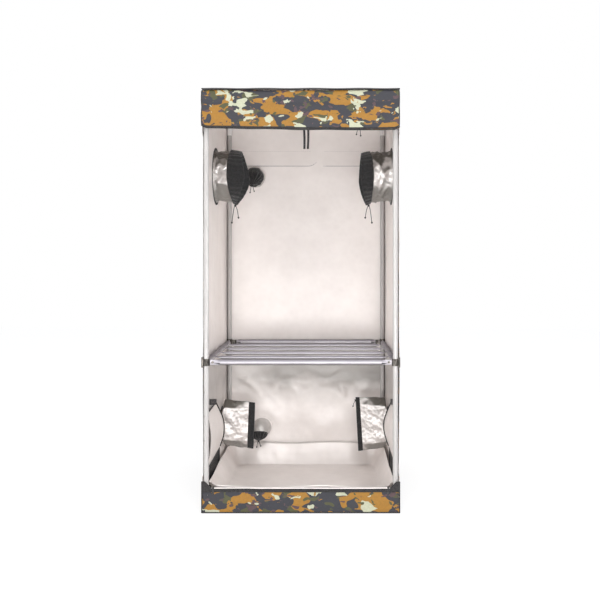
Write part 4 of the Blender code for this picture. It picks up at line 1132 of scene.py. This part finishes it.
def threeWay(values, angle):
    # top, side and bottom values round a ring, with the angle counted from the top
    top, middle, bottom = values
    up, down = np.clip(np.cos(angle), 0, 1) ** 1.5, np.clip(-np.cos(angle), 0, 1) ** 1.5
    return middle + (top - middle) * up + (bottom - middle) * down


def facets(angle, count, phase):
    # how far in a flat-sided ring lies from its circle
    step = 2 * pi / count
    local = (angle + phase) % step - step / 2
    return 1 - cos(step / 2) / np.cos(local)


def ductSleeve(side, sign):
    s, d = ductSettings[side], ductCloth
    full = sleeves["ductRadius"]
    (broadSides, broadShare), (smallSides, smallShare) = d["filmFlats"]
    cuffSides, cuffShare = d["cuffFlats"]
    around, filmSteps, cuffSteps = 144, 18, 14
    angle = turns(around)
    upper, lower = np.clip(np.cos(angle), 0, 1), np.clip(-np.cos(angle), 0, 1)
    rootDepth, mouthDepth = threeWay(s["root"], angle), threeWay(s["mouth"], angle)
    rings = []
    for i in range(filmSteps + cuffSteps + 1):
        along = i / (filmSteps + cuffSteps)
        free = ease(along / 0.12)
        radius = np.full(around, full - 0.0005)
        if i <= filmSteps:
            share = i / filmSteps
            depth = rootDepth * share
            place = pointGrid(depth, np.cos(angle) * full, np.sin(angle) * full)
            twist = s["twist"] * share + 0.25 * np.sin(share * 5)
            flat = facets(angle, broadSides, s["phase"] + twist) * broadShare
            flat = flat + facets(angle, smallSides, s["phase"] * 2 - twist * 1.4) * smallShare
            radius = radius * (1 - free * flat * (1 - 0.35 * share))
            radius = radius + free * d["crumple"] * creased(place, 0.05, s["seed"], 4)
        else:
            pleat = (i - filmSteps) / cuffSteps
            depth = rootDepth + (mouthDepth - rootDepth) * pleat
            place = pointGrid(depth, np.cos(angle) * full, np.sin(angle) * full)
            flat = facets(angle, cuffSides, s["phase"] + s["twist"]) * cuffShare
            radius = radius * (1 - flat * 0.65 * (1 - pleat))
            radius = radius + d["crumple"] * layeredNoise(place, 0.035, s["seed"] + 9, 2)
            gathers = np.sin(angle * d["gathers"] + 2 * softNoise(place, 0.05, 3))
            radius = radius + d["gather"] * gathers - d["drawIn"] * pleat
        # the drawn cord pulls the lowest part of the mouth to a point
        point = lower**10 * ease((along - 0.55) / 0.45)
        y = np.sin(angle) * radius * (1 - 0.35 * point)
        y = y - np.sin(angle) * lower**2 * 0.02 * ease((along - 0.6) / 0.4)
        z = ductCentre[1] + np.cos(angle) * radius - d["hang"] * along**2 - d["drawIn"] * point
        z = z + s["lift"] * upper * along
        rings.append(pointGrid(sign * (cover["innerX"] - depth), y, z))
    sleeve = loftSleeve(f"ductSleeve{side.title()}", rings, filmSteps, d["sheet"])
    flat = (2 * pi * full, float(mouthDepth.mean()))
    seatSheet(sleeve, f"duct_sleeve_{side}")
    wallHems("duct", side, sign, ductCentre, full, sleeves["hem"], sleeves["hemThickness"])


intakeSettings = {
    # heights of the flattened sleeve's top and bottom, at the wall and at the mouth, and how deep the
    # mouth lies and the cuff is there
    "left": {"wall": (0.372, 0.142), "mouth": (0.352, 0.122), "depth": (0.164, 0.155),
             "cuff": (0.030, 0.029), "seed": 300},
    "right": {"wall": (0.378, 0.131), "mouth": (0.380, 0.110), "depth": (0.160, 0.146),
              "cuff": (0.020, 0.023), "seed": 330},
}


# half width at the mouth and how much wider it is at the wall, the slope of roof and foot, and the folds
intakeCloth = {"sheet": 0.0010, "mouthHalf": 0.012, "wider": 0.036, "slope": 0.036, "fold": 0.0065,
               "crumple": 0.0022, "sway": 0.002}
# knot below the right sleeve's mouth, from the wall, the sleeve's middle and the ground, and its cords'
# swing and drop
intakeTail = {"depth": 0.162, "aside": 0.012, "height": 0.366, "knot": 0.0050,
              "ends": ((-0.013, 0.030), (0.006, 0.034))}


def between(pair, share):
    return pair[0] + (pair[1] - pair[0]) * share


def intakeSleeve(side, sign):
    s, d = intakeSettings[side], intakeCloth
    around, filmSteps, cuffSteps = 120, 26, 7
    angle = turns(around)
    radius = sleeves["intakeRadius"]
    height = (1 + np.cos(angle)) / 2
    mouthDepth, cuff = between(s["depth"][::-1], height), between(s["cuff"][::-1], height)
    sideways, turned = np.sign(np.sin(angle)), np.abs(np.sin(angle))
    rings = []
    for i in range(filmSteps + cuffSteps + 1):
        if i <= filmSteps:
            depth = (mouthDepth - cuff) * (i / filmSteps) ** 1.25
        else:
            depth = mouthDepth - cuff * (1 - (i - filmSteps) / cuffSteps)
        share = depth / mouthDepth
        flared = ease(share / 0.10)
        top, bottom = (between((wall, mouth), share) for wall, mouth in zip(s["wall"], s["mouth"]))
        half = radius + ((top - bottom) / 2 - radius) * flared
        centre = intakeCentre[1] + ((top + bottom) / 2 - intakeCentre[1]) * flared
        width = d["mouthHalf"] + d["wider"] * (1 - ease(share / 0.95))
        width = width + (radius - (d["mouthHalf"] + d["wider"])) * (1 - flared)
        up = np.cos(angle) * half
        # flat sides with a sloping roof and foot, as film folds that is pressed together
        slope = np.clip((half - np.abs(up)) / d["slope"], 0, 1) ** 0.75
        aside = sideways * (turned * (1 - flared) + slope * flared) * width
        place = pointGrid(depth, up, aside * 0.4)
        rough = ease(share / 0.2) * (1 if i <= filmSteps else 0.25)
        folds = d["fold"] * creased(place, 0.075, s["seed"], 3)
        folds = folds + d["crumple"] * creased(place, 0.03, s["seed"] + 5, 4)
        y = intakeCentre[0] + aside + rough * folds * np.sign(np.sin(angle) + 1e-9) * turned**0.4
        z = centre + up + d["sway"] * rough * softNoise(place, 0.03, s["seed"] + 8)
        rings.append(pointGrid(sign * (cover["innerX"] - depth - 0.0022 * (i > 0)), y, z))
    sleeve = loftSleeve(f"intakeSleeve{side.title()}", rings, filmSteps, d["sheet"])
    seatSheet(sleeve, f"intake_sleeve_{side}")
    wallHems("intake", side, sign, intakeCentre, radius, sleeves["hem"] - 0.002, 0.0018)


def intakeCord():
    s = intakeTail
    start = Vector((cover["innerX"] - s["depth"], intakeCentre[0] - s["aside"], s["height"]))
    cordKnot("intakeKnot", start, s["knot"])
    for index, (swing, drop) in enumerate(s["ends"]):
        bend = start + Vector((swing * 0.7, -0.003, -drop * 0.45))
        line = [start, bend, start + Vector((swing, -0.002, -drop))]
        addCord(f"intakeCord{index + 1}", line, cordSettings["thin"])


portSettings = {
    # depth, drop, size and tilt along each port, from the wall to the gathered tip
    "upper": {
        "path": [(0, 0, 1.0, 0), (0.018, -0.001, 1.06, 0.0), (0.033, -0.003, 1.0, 0.1),
                 (0.046, 0.002, 1.02, 0.35), (0.060, 0.012, 0.86, 0.7), (0.069, 0.026, 0.52, 1.0),
                 (0.070, 0.041, 0.10, 1.15)],
        "lean": -0.013, "seed": 350, "filmRings": 11, "tail": 0.042,
    },
    "lower": {
        "path": [(0, 0, 1.0, 0), (0.020, 0.001, 0.92, 0.25), (0.036, 0.009, 0.86, 0.75),
                 (0.046, 0.021, 0.80, 1.10), (0.051, 0.034, 0.74, 1.3), (0.054, 0.048, 0.52, 1.45),
                 (0.053, 0.059, 0.11, 1.5)],
        "lean": -0.014, "seed": 370, "filmRings": 15, "tail": 0.034,
    },
}


portCloth = {"sheet": 0.0009, "length": 0.095, "pleat": 0.0030, "pleats": 13, "crumple": 0.0035,
             "knot": 0.0038, "swings": (-0.007, 0.008)}


def cablePort(which):
    s, d = portSettings[which], portCloth
    radius, name = sleeves["portRadius"], which.title()
    x0, z0 = ports[which]
    centre = Vector((x0, cover["innerY"], z0))
    path = np.array(s["path"])
    marks = np.linspace(0, 1, len(path))
    around, steps = 90, 30
    angle = turns(around)
    rings = []
    for i in range(steps + 1):
        share = i / steps
        depth, drop, size, tilt = (np.interp(share, marks, path[:, k]) for k in range(4))
        place = pointGrid(np.cos(angle) * size * 0.05, depth, np.sin(angle) * size * 0.05)
        pleats = d["pleat"] * np.sin(angle * d["pleats"] + 0.6)
        pleats = pleats * ease((share - 0.40) / 0.25) * min(1, size * 2.5)
        crumple = d["crumple"] * ease(share / 0.12) * creased(place, 0.034, s["seed"], 4) * min(1, size * 2)
        reach = size * radius + pleats + crumple
        up = np.cos(angle) * reach
        x = centre.x + np.sin(angle) * reach + s["lean"] * share
        y = np.minimum(centre.y - depth - up * np.sin(tilt), cover["innerY"] - 0.001 * (i > 0))
        rings.append(pointGrid(x, y, centre.z - drop + up * np.cos(tilt)))
    sleeve = loftSleeve(f"cablePort{name}", rings, s["filmRings"], d["sheet"], "portFilm")
    seatSheet(sleeve, f"cable_port_{which}")
    inner, hem, lifted = radius - 0.001, sleeves["portHem"], sleeves["hemThickness"]
    bandRing(f"cablePortHem{name}", centre, (0, -1, 0), inner, radius + hem * 0.7, lifted, "liner")
    outside = (centre.x, cover["outerY"], centre.z)
    bandRing(f"cablePortOuterHem{name}", outside, (0, 1, 0), inner, radius + hem, sleeves["outerHem"])
    tip = Vector(rings[-1].mean(axis=0))
    cordKnot(f"portKnot{name}", tip + Vector((0, -0.001, -0.002)), d["knot"])
    for index, swing in enumerate(d["swings"]):
        offsets = [(swing * 0.2, -0.002, 0.001), (swing * 0.8, -0.006, -s["tail"] * 0.4),
                   (swing * 1.4, -0.004, -s["tail"] + 0.006 * index)]
        line = [tip + Vector(offset) for offset in offsets]
        addCord(f"portCord{name}{index + 1}", line, cordSettings["thin"])


# how far the mouth is drawn in, the folds, the gathers and the cords' swing and drop
roofFilm = {"sheet": 0.0010, "drawIn": 0.30, "crumple": 0.004, "gather": 0.002, "gathers": 22,
            "ends": ((-0.010, 0.052), (0.004, 0.058))}


def roofSleeve():
    s = roofFilm
    radius, around, steps = sleeves["roofRadius"], 84, 20
    centre = Vector((*roofCentre, cover["top"]))
    length = centre.z - roofPortLow.z
    angle = turns(around)
    rings = []
    for i in range(steps + 1):
        share = i / steps
        size = radius * (1 - s["drawIn"] * ease((share - 0.5) / 0.5))
        place = pointGrid(np.cos(angle) * size, np.sin(angle) * size, share * 0.09)
        crumple = s["crumple"] * ease(share / 0.15) * creased(place, 0.035, 410, 5)
        gathers = np.sin(angle * s["gathers"]) * ease((share - 0.5) / 0.3)
        size = size + crumple + s["gather"] * gathers
        x, y = centre.x + np.sin(angle) * size, centre.y + np.cos(angle) * size
        rings.append(pointGrid(x, y, centre.z - length * share))
    sleeve = loftSleeve("roofSleeve", rings, 11, s["sheet"])
    seatSheet(sleeve, "roof_sleeve")
    ring = (radius - 0.001, radius + sleeves["hem"] - 0.002)
    bandRing("roofHem", centre, (0, 0, -1), *ring, sleeves["hemThickness"])
    for index, (swing, drop) in enumerate(s["ends"]):
        start = Vector((centre.x + swing * 0.4, centre.y - radius * 0.70, roofPortLow.z + 0.004))
        bend = start + Vector((swing * 0.5, -0.003, -drop * 0.5))
        line = [start, bend, start + Vector((swing, -0.004, -drop))]
        addCord(f"roofCord{index + 1}", line, cordSettings["thin"])


for side, sign in bothSides:
    ductSleeve(side, sign)
    intakeSleeve(side, sign)
intakeCord()
cablePort("upper")
cablePort("lower")
roofSleeve()
print("sleeves and ports hung")


# Mesh windows in the side walls and the flaps that cover them


flap = {
    "foot": 0.156,
    "length": 0.240,
    "front": -0.270,
    "rearFoot": 0.120,
    "rearHead": -0.030,
    "bow": 0.030,
    "edge": (0.007, 0.0022),
    "cord": 0.0034,
    "tab": (0.026, 0.0016),
    "tabReach": (0, -0.205, 0.036),
    "ripple": 0.0022,
    "netBulge": 0.012,
    "netTape": 0.010,
    # how far each face's tape stands off the wall, and how thick it is
    "netTapes": {"Inner": (-0.0012, 0.0016), "Outer": (0.0008, 0.0014)},
}


def ventWindow(side, sign):
    s = panels
    ys = np.linspace(s["windowFront"] - 0.004, s["windowRear"] + 0.004, 48)
    y, z = np.meshgrid(ys, np.linspace(s["windowFoot"] - 0.004, s["windowHead"] + 0.004, 16))
    bulge = hump(y, s["windowFront"], s["windowRear"]) * hump(z, s["windowFoot"], s["windowHead"])
    inner = pointGrid(sign * (cover["innerX"] - 0.0005 - flap["netBulge"] * bulge), y, z)
    outer = inner + np.array([sign * 0.0006, 0, 0])
    net = twoSkins(f"ventNet{side.title()}", inner, outer, ["meshNetting"], slots=(0, 0, 0))
    seatSheet(net, None)
    corners = [(s[f"window{end}"], s[f"window{height}"]) for end, height in
               (("Front", "Foot"), ("Rear", "Foot"), ("Rear", "Head"), ("Front", "Head"))]
    for face, (proud, thick) in flap["netTapes"].items():
        reach = cover[face.lower() + "X"] + proud
        for index in range(4):
            (y0, z0), (y1, z1) = corners[index], corners[(index + 1) % 4]
            over = 0.03 if index % 2 else 0.012
            t = np.linspace(-over, 1 + over, 14)
            line = pointGrid(sign * reach, y0 + (y1 - y0) * t, z0 + (z1 - z0) * t)
            name = f"vent{face}Tape{side.title()}{index + 1}"
            ribbonAlong(name, line, (-sign, 0, 0), flap["netTape"], thick)


def flapPoint(sign, across, up):
    # across runs from the front edge to the rear one, up from the seam to the free edge
    s = flap
    rear = s["rearFoot"] + (s["rearHead"] - s["rearFoot"]) * up
    y = s["front"] + (rear - s["front"]) * across
    bow = s["bow"] * np.sin(pi * up) * (0.45 + 0.55 * across)
    return pointGrid(sign * (cover["innerX"] - 0.0014 - bow * 0.96), y, s["foot"] + s["length"] * up)


def ventFlap(side, sign):
    body, name = f"vent_flap_{side}", side.title()
    across, up = np.meshgrid(np.linspace(0, 1, 44), np.linspace(0, 1, 40))
    face = flapPoint(sign, across, up)
    ripple = flap["ripple"] * layeredNoise(face, 0.07, 500 + sign, 2) * np.sin(pi * up) ** 0.5
    face[..., 0] -= sign * np.maximum(ripple, -0.001)
    back = face + np.array([sign * 0.0011, 0, 0])
    piece = twoSkins(f"ventFlapCloth{name}", face, back, ("liner", "liner", "blackTape"))
    seatSheet(piece, body, body)
    edge = face[:, -1] + np.array([-sign * 0.0016, -0.001, 0])
    tubeAlong(f"ventFlapRearEdge{name}", edge, flap["cord"], body=body)
    head = face[-1] + np.array([-sign * 0.0004, 0, -0.002])
    ribbonAlong(f"ventFlapHeadEdge{name}", head, (-sign, 0, 0), *flap["edge"], body=body)
    reach = np.linspace(0, 1, 10)[:, None] * np.array(flap["tabReach"])
    tab = flapPoint(sign, 1.0, 0.985) + reach + np.array([-sign * 0.0024, 0.001, 0.006])
    ribbonAlong(f"ventFlapTab{name}", tab, (-sign, 0, 0), *flap["tab"], body=body)


for side, sign in bothSides:
    ventWindow(side, sign)
    ventFlap(side, sign)
print("vents covered")


# Spill tray: one sheet of film, folded up at the sides


tray = {
    "floorHalf": 0.352,
    "rimHalf": 0.383,
    "rim": 0.1058,
    "corner": 0.040,
    "sheet": 0.0012,
    "lift": 0.0022,
    "crumple": 0.007,
    "crumpleAt": (0.26, 0.27),
    "crumpleReach": (0.09, 0.1),
    "dent": 0.007,
    "wave": 0.004,
    "waves": 7,
    "knee": (0.45, 0.55),
    "lean": 0.018,
    "frontShare": 0.3,
    "gap": 0.007,
    "post": 0.345,
}


def roundedSquare(half, corner, count):
    # evenly spaced points on a square with round corners
    side = half - corner
    arc = corner * pi / 2
    points = []
    for place in np.arange(count) / count * (4 * (2 * side + arc)):
        quarter, rest = divmod(place, 2 * side + arc)
        if rest < 2 * side:
            x, y = half, rest - side
        else:
            turn = (rest - 2 * side) / corner
            x, y = side + corner * cos(turn), side + corner * sin(turn)
        for _ in range(int(quarter)):
            x, y = -y, x
        points.append((x, y))
    return np.array(points)


def trayFloorRing(share, count, low):
    s = tray
    share = max(share, 0.02)
    x, y = roundedSquare(s["floorHalf"] * share, s["corner"] * share, count).T
    place = pointGrid(x, y, low + s["sheet"])
    lift = s["lift"] + s["lift"] * layeredNoise(place, 0.12, 600)
    # the rear right corner of the floor is crumpled
    (atX, atY), (reachX, reachY) = s["crumpleAt"], s["crumpleReach"]
    corner = np.exp(-(((x - atX) / reachX) ** 2) - ((y - atY) / reachY) ** 2)
    lift = lift + corner * s["crumple"] * creased(place, 0.07, 611, 4)
    place[:, 2] += np.maximum(lift, 0) * ease((1 - share) / 0.12 + 0.15)
    return place


def trayWallRing(share, count, low):
    s = tray
    knee, inset = s["knee"]
    out = inset * share / knee if share < knee else inset + (1 - inset) * (share - knee) / (1 - knee)
    half = s["floorHalf"] + (s["rimHalf"] - s["floorHalf"]) * out
    outline = roundedSquare(half, s["corner"], count)
    turn = np.arange(count) / count * 2 * pi
    height = s["rim"] - low + s["wave"] * np.sin(turn * s["waves"])
    z = low + s["sheet"] + (height - s["sheet"]) * share
    place = pointGrid(outline[:, 0], outline[:, 1], z)
    move = layeredNoise(place, (0.10, 0.10, 0.25), 620) * s["dent"] * hump(share, -0.1, 1.15)
    outline = outline * (1 - np.maximum(move, -0.003)[:, None] / half)
    # the rim leans out to the walls between the posts, and at the back as far as the slack cloth lets it
    rear = cover["innerY"] - slackAt(outline[:, 0], s["rim"]) - s["gap"] - s["rimHalf"]
    lean = (s["lean"], np.where(outline[:, 1] > 0, rear, s["frontShare"] * s["lean"]))
    for k in (0, 1):
        free = ease((s["post"] - np.abs(outline[:, 1 - k])) / 0.03) * (np.abs(outline[:, k]) > half - 0.02)
        outline[:, k] += np.sign(outline[:, k]) * free * lean[k] * share**1.5
    return pointGrid(outline[:, 0], outline[:, 1], z)


def spillTray():
    s = tray
    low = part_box("spill_tray")[0].z
    count, floorSteps, wallSteps = 320, 26, 16
    rings = [trayFloorRing(i / floorSteps, count, low) for i in range(floorSteps + 1)]
    rings += [trayWallRing((i + 1) / wallSteps, count, low) for i in range(wallSteps)]
    rings = np.array(rings)
    around = np.roll(rings, -1, 1) - np.roll(rings, 1, 1)
    normal = unit(np.cross(np.gradient(rings, axis=0), around))
    inward = (-rings[..., :2] * normal[..., :2]).sum(-1, keepdims=True)
    normal *= np.where(normal[..., 2:] + 0.3 * inward > 0, 1, -1)
    under = rings - normal * s["sheet"] * 0.9
    inner = under[: floorSteps // 2, :, 2]
    inner[:] = np.minimum(inner, rings[: floorSteps // 2, :, 2] - s["sheet"] * 0.8)
    under[..., 2] = np.maximum(under[..., 2], low)
    total = 2 * len(rings)
    points = list(np.concatenate([rings, under[::-1]]).reshape(-1, 3))
    faces = ringFaces(total, count)
    points += [rings[0].mean(axis=0), under[0].mean(axis=0)]
    top, base = len(points) - 2, len(points) - 1
    last = (total - 1) * count
    for k in range(count):
        n = (k + 1) % count
        faces += [(k, n, top), (last + k, last + n, base)]
    sheet = closedMesh("spillTraySheet", points, faces, ["trayFilm"])
    seatSheet(sheet, "spill_tray")


spillTray()


# Sill at the front: printed cloth, black bindings, the zip's band and its teeth


sill = {
    "height": 0.1086,
    "corner": 0.134,
    "rise": 0.036,
    "binding": 0.020,
    "zip": (0.0145, 0.0014),
    "zipGap": 0.0045,
    "tooth": (0.0018, 0.0045, 0.0014),
    "toothPitch": 0.0032,
    "rimCord": 0.0022,
    "footCord": 0.0024,
    "billow": 0.0016,
    "lean": 0.001,
    "rimWave": 0.0012,
}


def sillTop(x):
    # height of the rim, which climbs towards the posts
    s = sill
    rise = ease((np.abs(x) - (sillHigh.x - s["rise"] - 0.008)) / s["rise"])
    return s["height"] + (s["corner"] - s["height"]) * rise


def frontSill():
    s = sill
    front = -cover["outerY"]
    xs = np.linspace(sillLow.x, sillHigh.x, 150)
    x, share = np.meshgrid(xs, np.linspace(0, 1, 22))
    z = sillLow.z + (sillTop(x) - sillLow.z) * share
    still = calm(x, sillLow.x, sillHigh.x, 0.05) * hump(share, -0.05, 0.82)  # calm where the zip runs
    push = still * (s["billow"] * layeredNoise(pointGrid(x, 0, z), (0.12, 1, 0.06), 700) + s["lean"])
    wave = -s["rimWave"] * np.abs(softNoise(pointGrid(x, 0, 0), (0.14, 1, 1), 720)) * share
    face = pointGrid(x, front - push - 0.0002, z + wave)
    back = face + np.array([0, cover["cloth"] * 0.9, 0])
    piece = twoSkins("frontSillCloth", face, back, ("printedCloth", "liner", "blackTape"))
    seatSheet(piece, "front_sill")
    # zip band below the rim, the rim's piping, the ground binding and the dark corner pieces
    rim, zipDrop = face[-1], -s["zip"][0] / 2 - s["zipGap"]
    ribbonAlong("sillZipBand", rim + np.array([0, -0.0012, zipDrop]), (0, -1, 0), *s["zip"])
    tubeAlong("sillRim", rim + np.array([0, -0.0004, -0.0018]), s["rimCord"], "liner")
    teeth = walkAlong(rim + np.array([0, -0.0024, zipDrop]), 0.004, 0.004, s["toothPitch"])
    smallBlocks("sillZipTeeth", [(at, (1, 0, 0), (0, 0, 1)) for at in teeth], s["tooth"], "darkPlastic")
    tubeAlong("sillFootPiping", pointGrid(xs, front - 0.0018, sillLow.z + 0.0018), s["footCord"])
    for side, sign in bothSides:
        span = np.linspace(0, s["rise"] + 0.004, 14)
        x, share = np.meshgrid(sign * (sillHigh.x - span), np.linspace(0, 1, 10))
        z = s["height"] - s["binding"] + (sillTop(x) + 0.0006 - s["height"] + s["binding"]) * share
        face = pointGrid(x, front - 0.0034, z)
        back = face + np.array([0, 0.0022, 0])
        seat(twoSkins(f"sillCornerBinding{side.title()}", face, back, ["blackTape"], slots=(0, 0, 0)))
        zs = np.linspace(sillLow.z, s["corner"], 24)
        end = pointGrid(sign * (cover["outerX"] + 0.0008), front - 0.0015, zs)
        tubeAlong(f"sillEndPiping{side.title()}", end, s["rimCord"])


frontSill()


# Black edge bindings of the cover, seen from the sides, the back and the front


bindings = {"piping": 0.0027, "sway": 0.0006, "zipTape": (0.012, 0.0016), "outerTape": (0.014, 0.0012)}


def edgeBindings():
    ox, oy, low, top = cover["outerX"], cover["outerY"], cover["low"], cover["roofTop"]
    roof, foot = top - 0.001, low + 0.0012
    runs = {
        "RearLeft": [(-ox, oy, low), (-ox, oy, top - 0.002)],
        "RearRight": [(ox, oy, low), (ox, oy, top - 0.002)],
        "RoofRear": [(-ox, oy, roof), (ox, oy, roof)],
        "RoofLeft": [(-ox, -oy, roof), (-ox, oy, roof)],
        "RoofRight": [(ox, -oy, roof), (ox, oy, roof)],
        "FootRear": [(-ox, oy, foot), (ox, oy, foot)],
        "FootLeft": [(-ox, -oy, foot), (-ox, oy, foot)],
        "FootRight": [(ox, -oy, foot), (ox, oy, foot)],
    }
    for index, (name, (start, end)) in enumerate(runs.items()):
        share = np.linspace(0, 1, 70)[:, None]
        line = np.array(start) * (1 - share) + np.array(end) * share
        sway = softNoise(line, 0.09, 800 + index)[:, None] * bindings["sway"]
        outward = np.sign(np.mean(line, axis=0)) * [1, 1, 0]
        tubeAlong(f"edgePiping{name}", line + sway * outward, bindings["piping"])
    # the zip's tape runs up both front edges of the side walls
    zs = np.linspace(sill["corner"] - 0.004, cover["top"] - 0.004, 160)
    for side, sign in bothSides:
        name, normal = side.title(), (-sign, 0, 0)
        inner = pointGrid(sign * (cover["innerX"] - 0.0012), wallLow.y + doorSetBack(zs) + 0.006, zs)
        ribbonAlong(f"doorZipTape{name}", inner, normal, *bindings["zipTape"])
        outer = inner + np.array([sign * (cover["cloth"] + 0.0024), 0.012, 0])
        ribbonAlong(f"doorZipTapeOuter{name}", outer, normal, *bindings["outerTape"], "printedCloth")


edgeBindings()
print("tray, sill and bindings done")


# Finishes of the solid pieces that stay as they are


solids = {
    "paintedTube": ("lower_post", "upper_post", "base_rail", "top_rail", "roof_bar"),
    "shelfMetal": ("shelf_rail", "shelf_slat"),
    "clampMetal": ("post_clamp",),
    "whitePlastic": ("base_corner", "top_corner"),
    "sliderMetal": ("zip_slider",),
}
# painted shade lines on the flat rail ends; each row is its lift, length and radius
crimpShades = {"inset": (0.016, 0.043), "rows": ((-0.0035, 1.0, 0.0026), (0.0105, 0.55, 0.0017)), "proud": 0.0004}


def paint(finish, starts):
    for piece in bpy.data.objects:
        if piece.type == "MESH" and piece.name.startswith(starts):
            for slot in piece.material_slots:
                slot.material = finishes[finish]
            if not piece.material_slots:
                piece.data.materials.append(finishes[finish])


def railEndShades():
    # painted shade: dark lines on the rail where the round tube is pressed flat for its bolt, standing in for
    # the shaded sides of that narrowing
    near, far = crimpShades["inset"]
    for rail in ("front", "rear"):
        piece = bpy.data.objects[f"shelf_rail_{rail}"]
        low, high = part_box(f"shelf_rail_{rail}")
        for side, sign in bothSides:
            end = high.x if sign > 0 else -low.x
            for index, (lift, length, radius) in enumerate(crimpShades["rows"]):
                outer = far - (far - near) * length
                line = []
                for share in np.linspace(0, 1, 14):
                    x = sign * (end - outer - (far - outer) * share)
                    start = Vector((x, low.y - 0.1, (low.z + high.z) / 2 + lift))
                    hit, place, _, _ = piece.ray_cast(start, Vector((0, 1, 0)))
                    if hit:
                        line.append(place - Vector((0, crimpShades["proud"], 0)))
                taper = 0.25 + 0.75 * np.linspace(0, 1, len(line))
                name = f"railCrimp{rail.title()}{side.title()}{index + 1}"
                tubeAlong(name, line, radius, "darkPlastic", 8, taper, "shelf")


railEndShades()
for finish, starts in solids.items():
    paint(finish, starts)
print("solid pieces finished")


# Pale floor, white surroundings and soft light


studio = {
    "white": 1.0,
    "ambient": 0.62,
    "tint": (0.96, 0.97, 1.0, 1),
    "floorSize": 16.0,
    "floorDrop": 0.0006,
    "floorFinish": {"Roughness": 0.9, "Base Color": (0.92, 0.92, 0.92, 1)},
    "floorGlow": 1.25,
    "glowShare": 0.6,
}
# place, target, size and power
lamps = {
    "frontLamp": ((0.0, -9.0, 0.80), (0, 0, 1.1), (5.0, 1.6), 15.0),
    "lowLamp": ((0.1, -4.6, 0.25), (0, 0.4, 1.7), (2.4, 0.5), 60.0),
    "leftLamp": ((-5.2, -5.8, 1.0), (0, 0, 1.0), (2.6, 1.8), 168.0),
    "rightLamp": ((5.2, -5.8, 1.0), (0, 0, 1.0), (2.6, 1.8), 168.0),
    "highLamp": ((0.4, -4.5, 5.5), (0, 0, 0.3), (3.6, 2.6), 155.0),
}


def shownRays(tree):
    # rays that show the white surroundings as such: seen straight, mirrored or through
    rays = tree.nodes.new("ShaderNodeLightPath").outputs
    mirrored = mathNode(tree, "MAXIMUM", rays["Is Glossy Ray"], rays["Is Transmission Ray"])
    return mathNode(tree, "MAXIMUM", rays["Is Camera Ray"], mirrored)


def whiteWorld():
    world = bpy.data.worlds.new("studioWorld")
    bpy.context.scene.world = world
    world.use_nodes = True
    tree = world.node_tree
    tree.nodes.clear()
    seen = addNode(tree, "ShaderNodeBackground", {"Color": (1, 1, 1, 1), "Strength": studio["white"]})
    lit = addNode(tree, "ShaderNodeBackground", {"Color": studio["tint"], "Strength": studio["ambient"]})
    addNode(tree, "ShaderNodeOutputWorld", Surface=mixShaders(tree, shownRays(tree), lit, seen))


def studioFloor():
    half = studio["floorSize"] / 2
    corners = [(-half, -half, 0), (half, -half, 0), (half, half, 0), (-half, half, 0)]
    mesh = bpy.data.meshes.new("studioFloor")
    mesh.from_pydata(corners, [], [(0, 1, 2, 3)])
    floor = bpy.data.objects.new("studioFloor", mesh)
    floor.location.z = -studio["floorDrop"]
    bpy.context.collection.objects.link(floor)
    material, tree, shader, _ = newFinish("paleFloor", studio["floorFinish"])
    glow = addNode(tree, "ShaderNodeEmission", {"Color": (1, 1, 1, 1), "Strength": studio["floorGlow"]})
    share = mathNode(tree, "MULTIPLY", shownRays(tree), studio["glowShare"])
    surface = tree.nodes["Material Output"].inputs["Surface"]
    tree.links.new(mixShaders(tree, share, shader, glow), surface)
    mesh.materials.append(material)


def softLamp(name, place, target, size, power):
    data = bpy.data.lights.new(name, "AREA")
    data.shape = "RECTANGLE"
    data.size, data.size_y = size
    data.energy = power
    lamp = bpy.data.objects.new(name, data)
    lamp.location = place
    lamp.rotation_euler = (Vector(target) - Vector(place)).to_track_quat("-Z", "Y").to_euler()
    bpy.context.collection.objects.link(lamp)


whiteWorld()
studioFloor()
for name, settings in lamps.items():
    softLamp(name, *settings)
bpy.context.scene.view_settings.view_transform = "Standard"
print("stage lit")
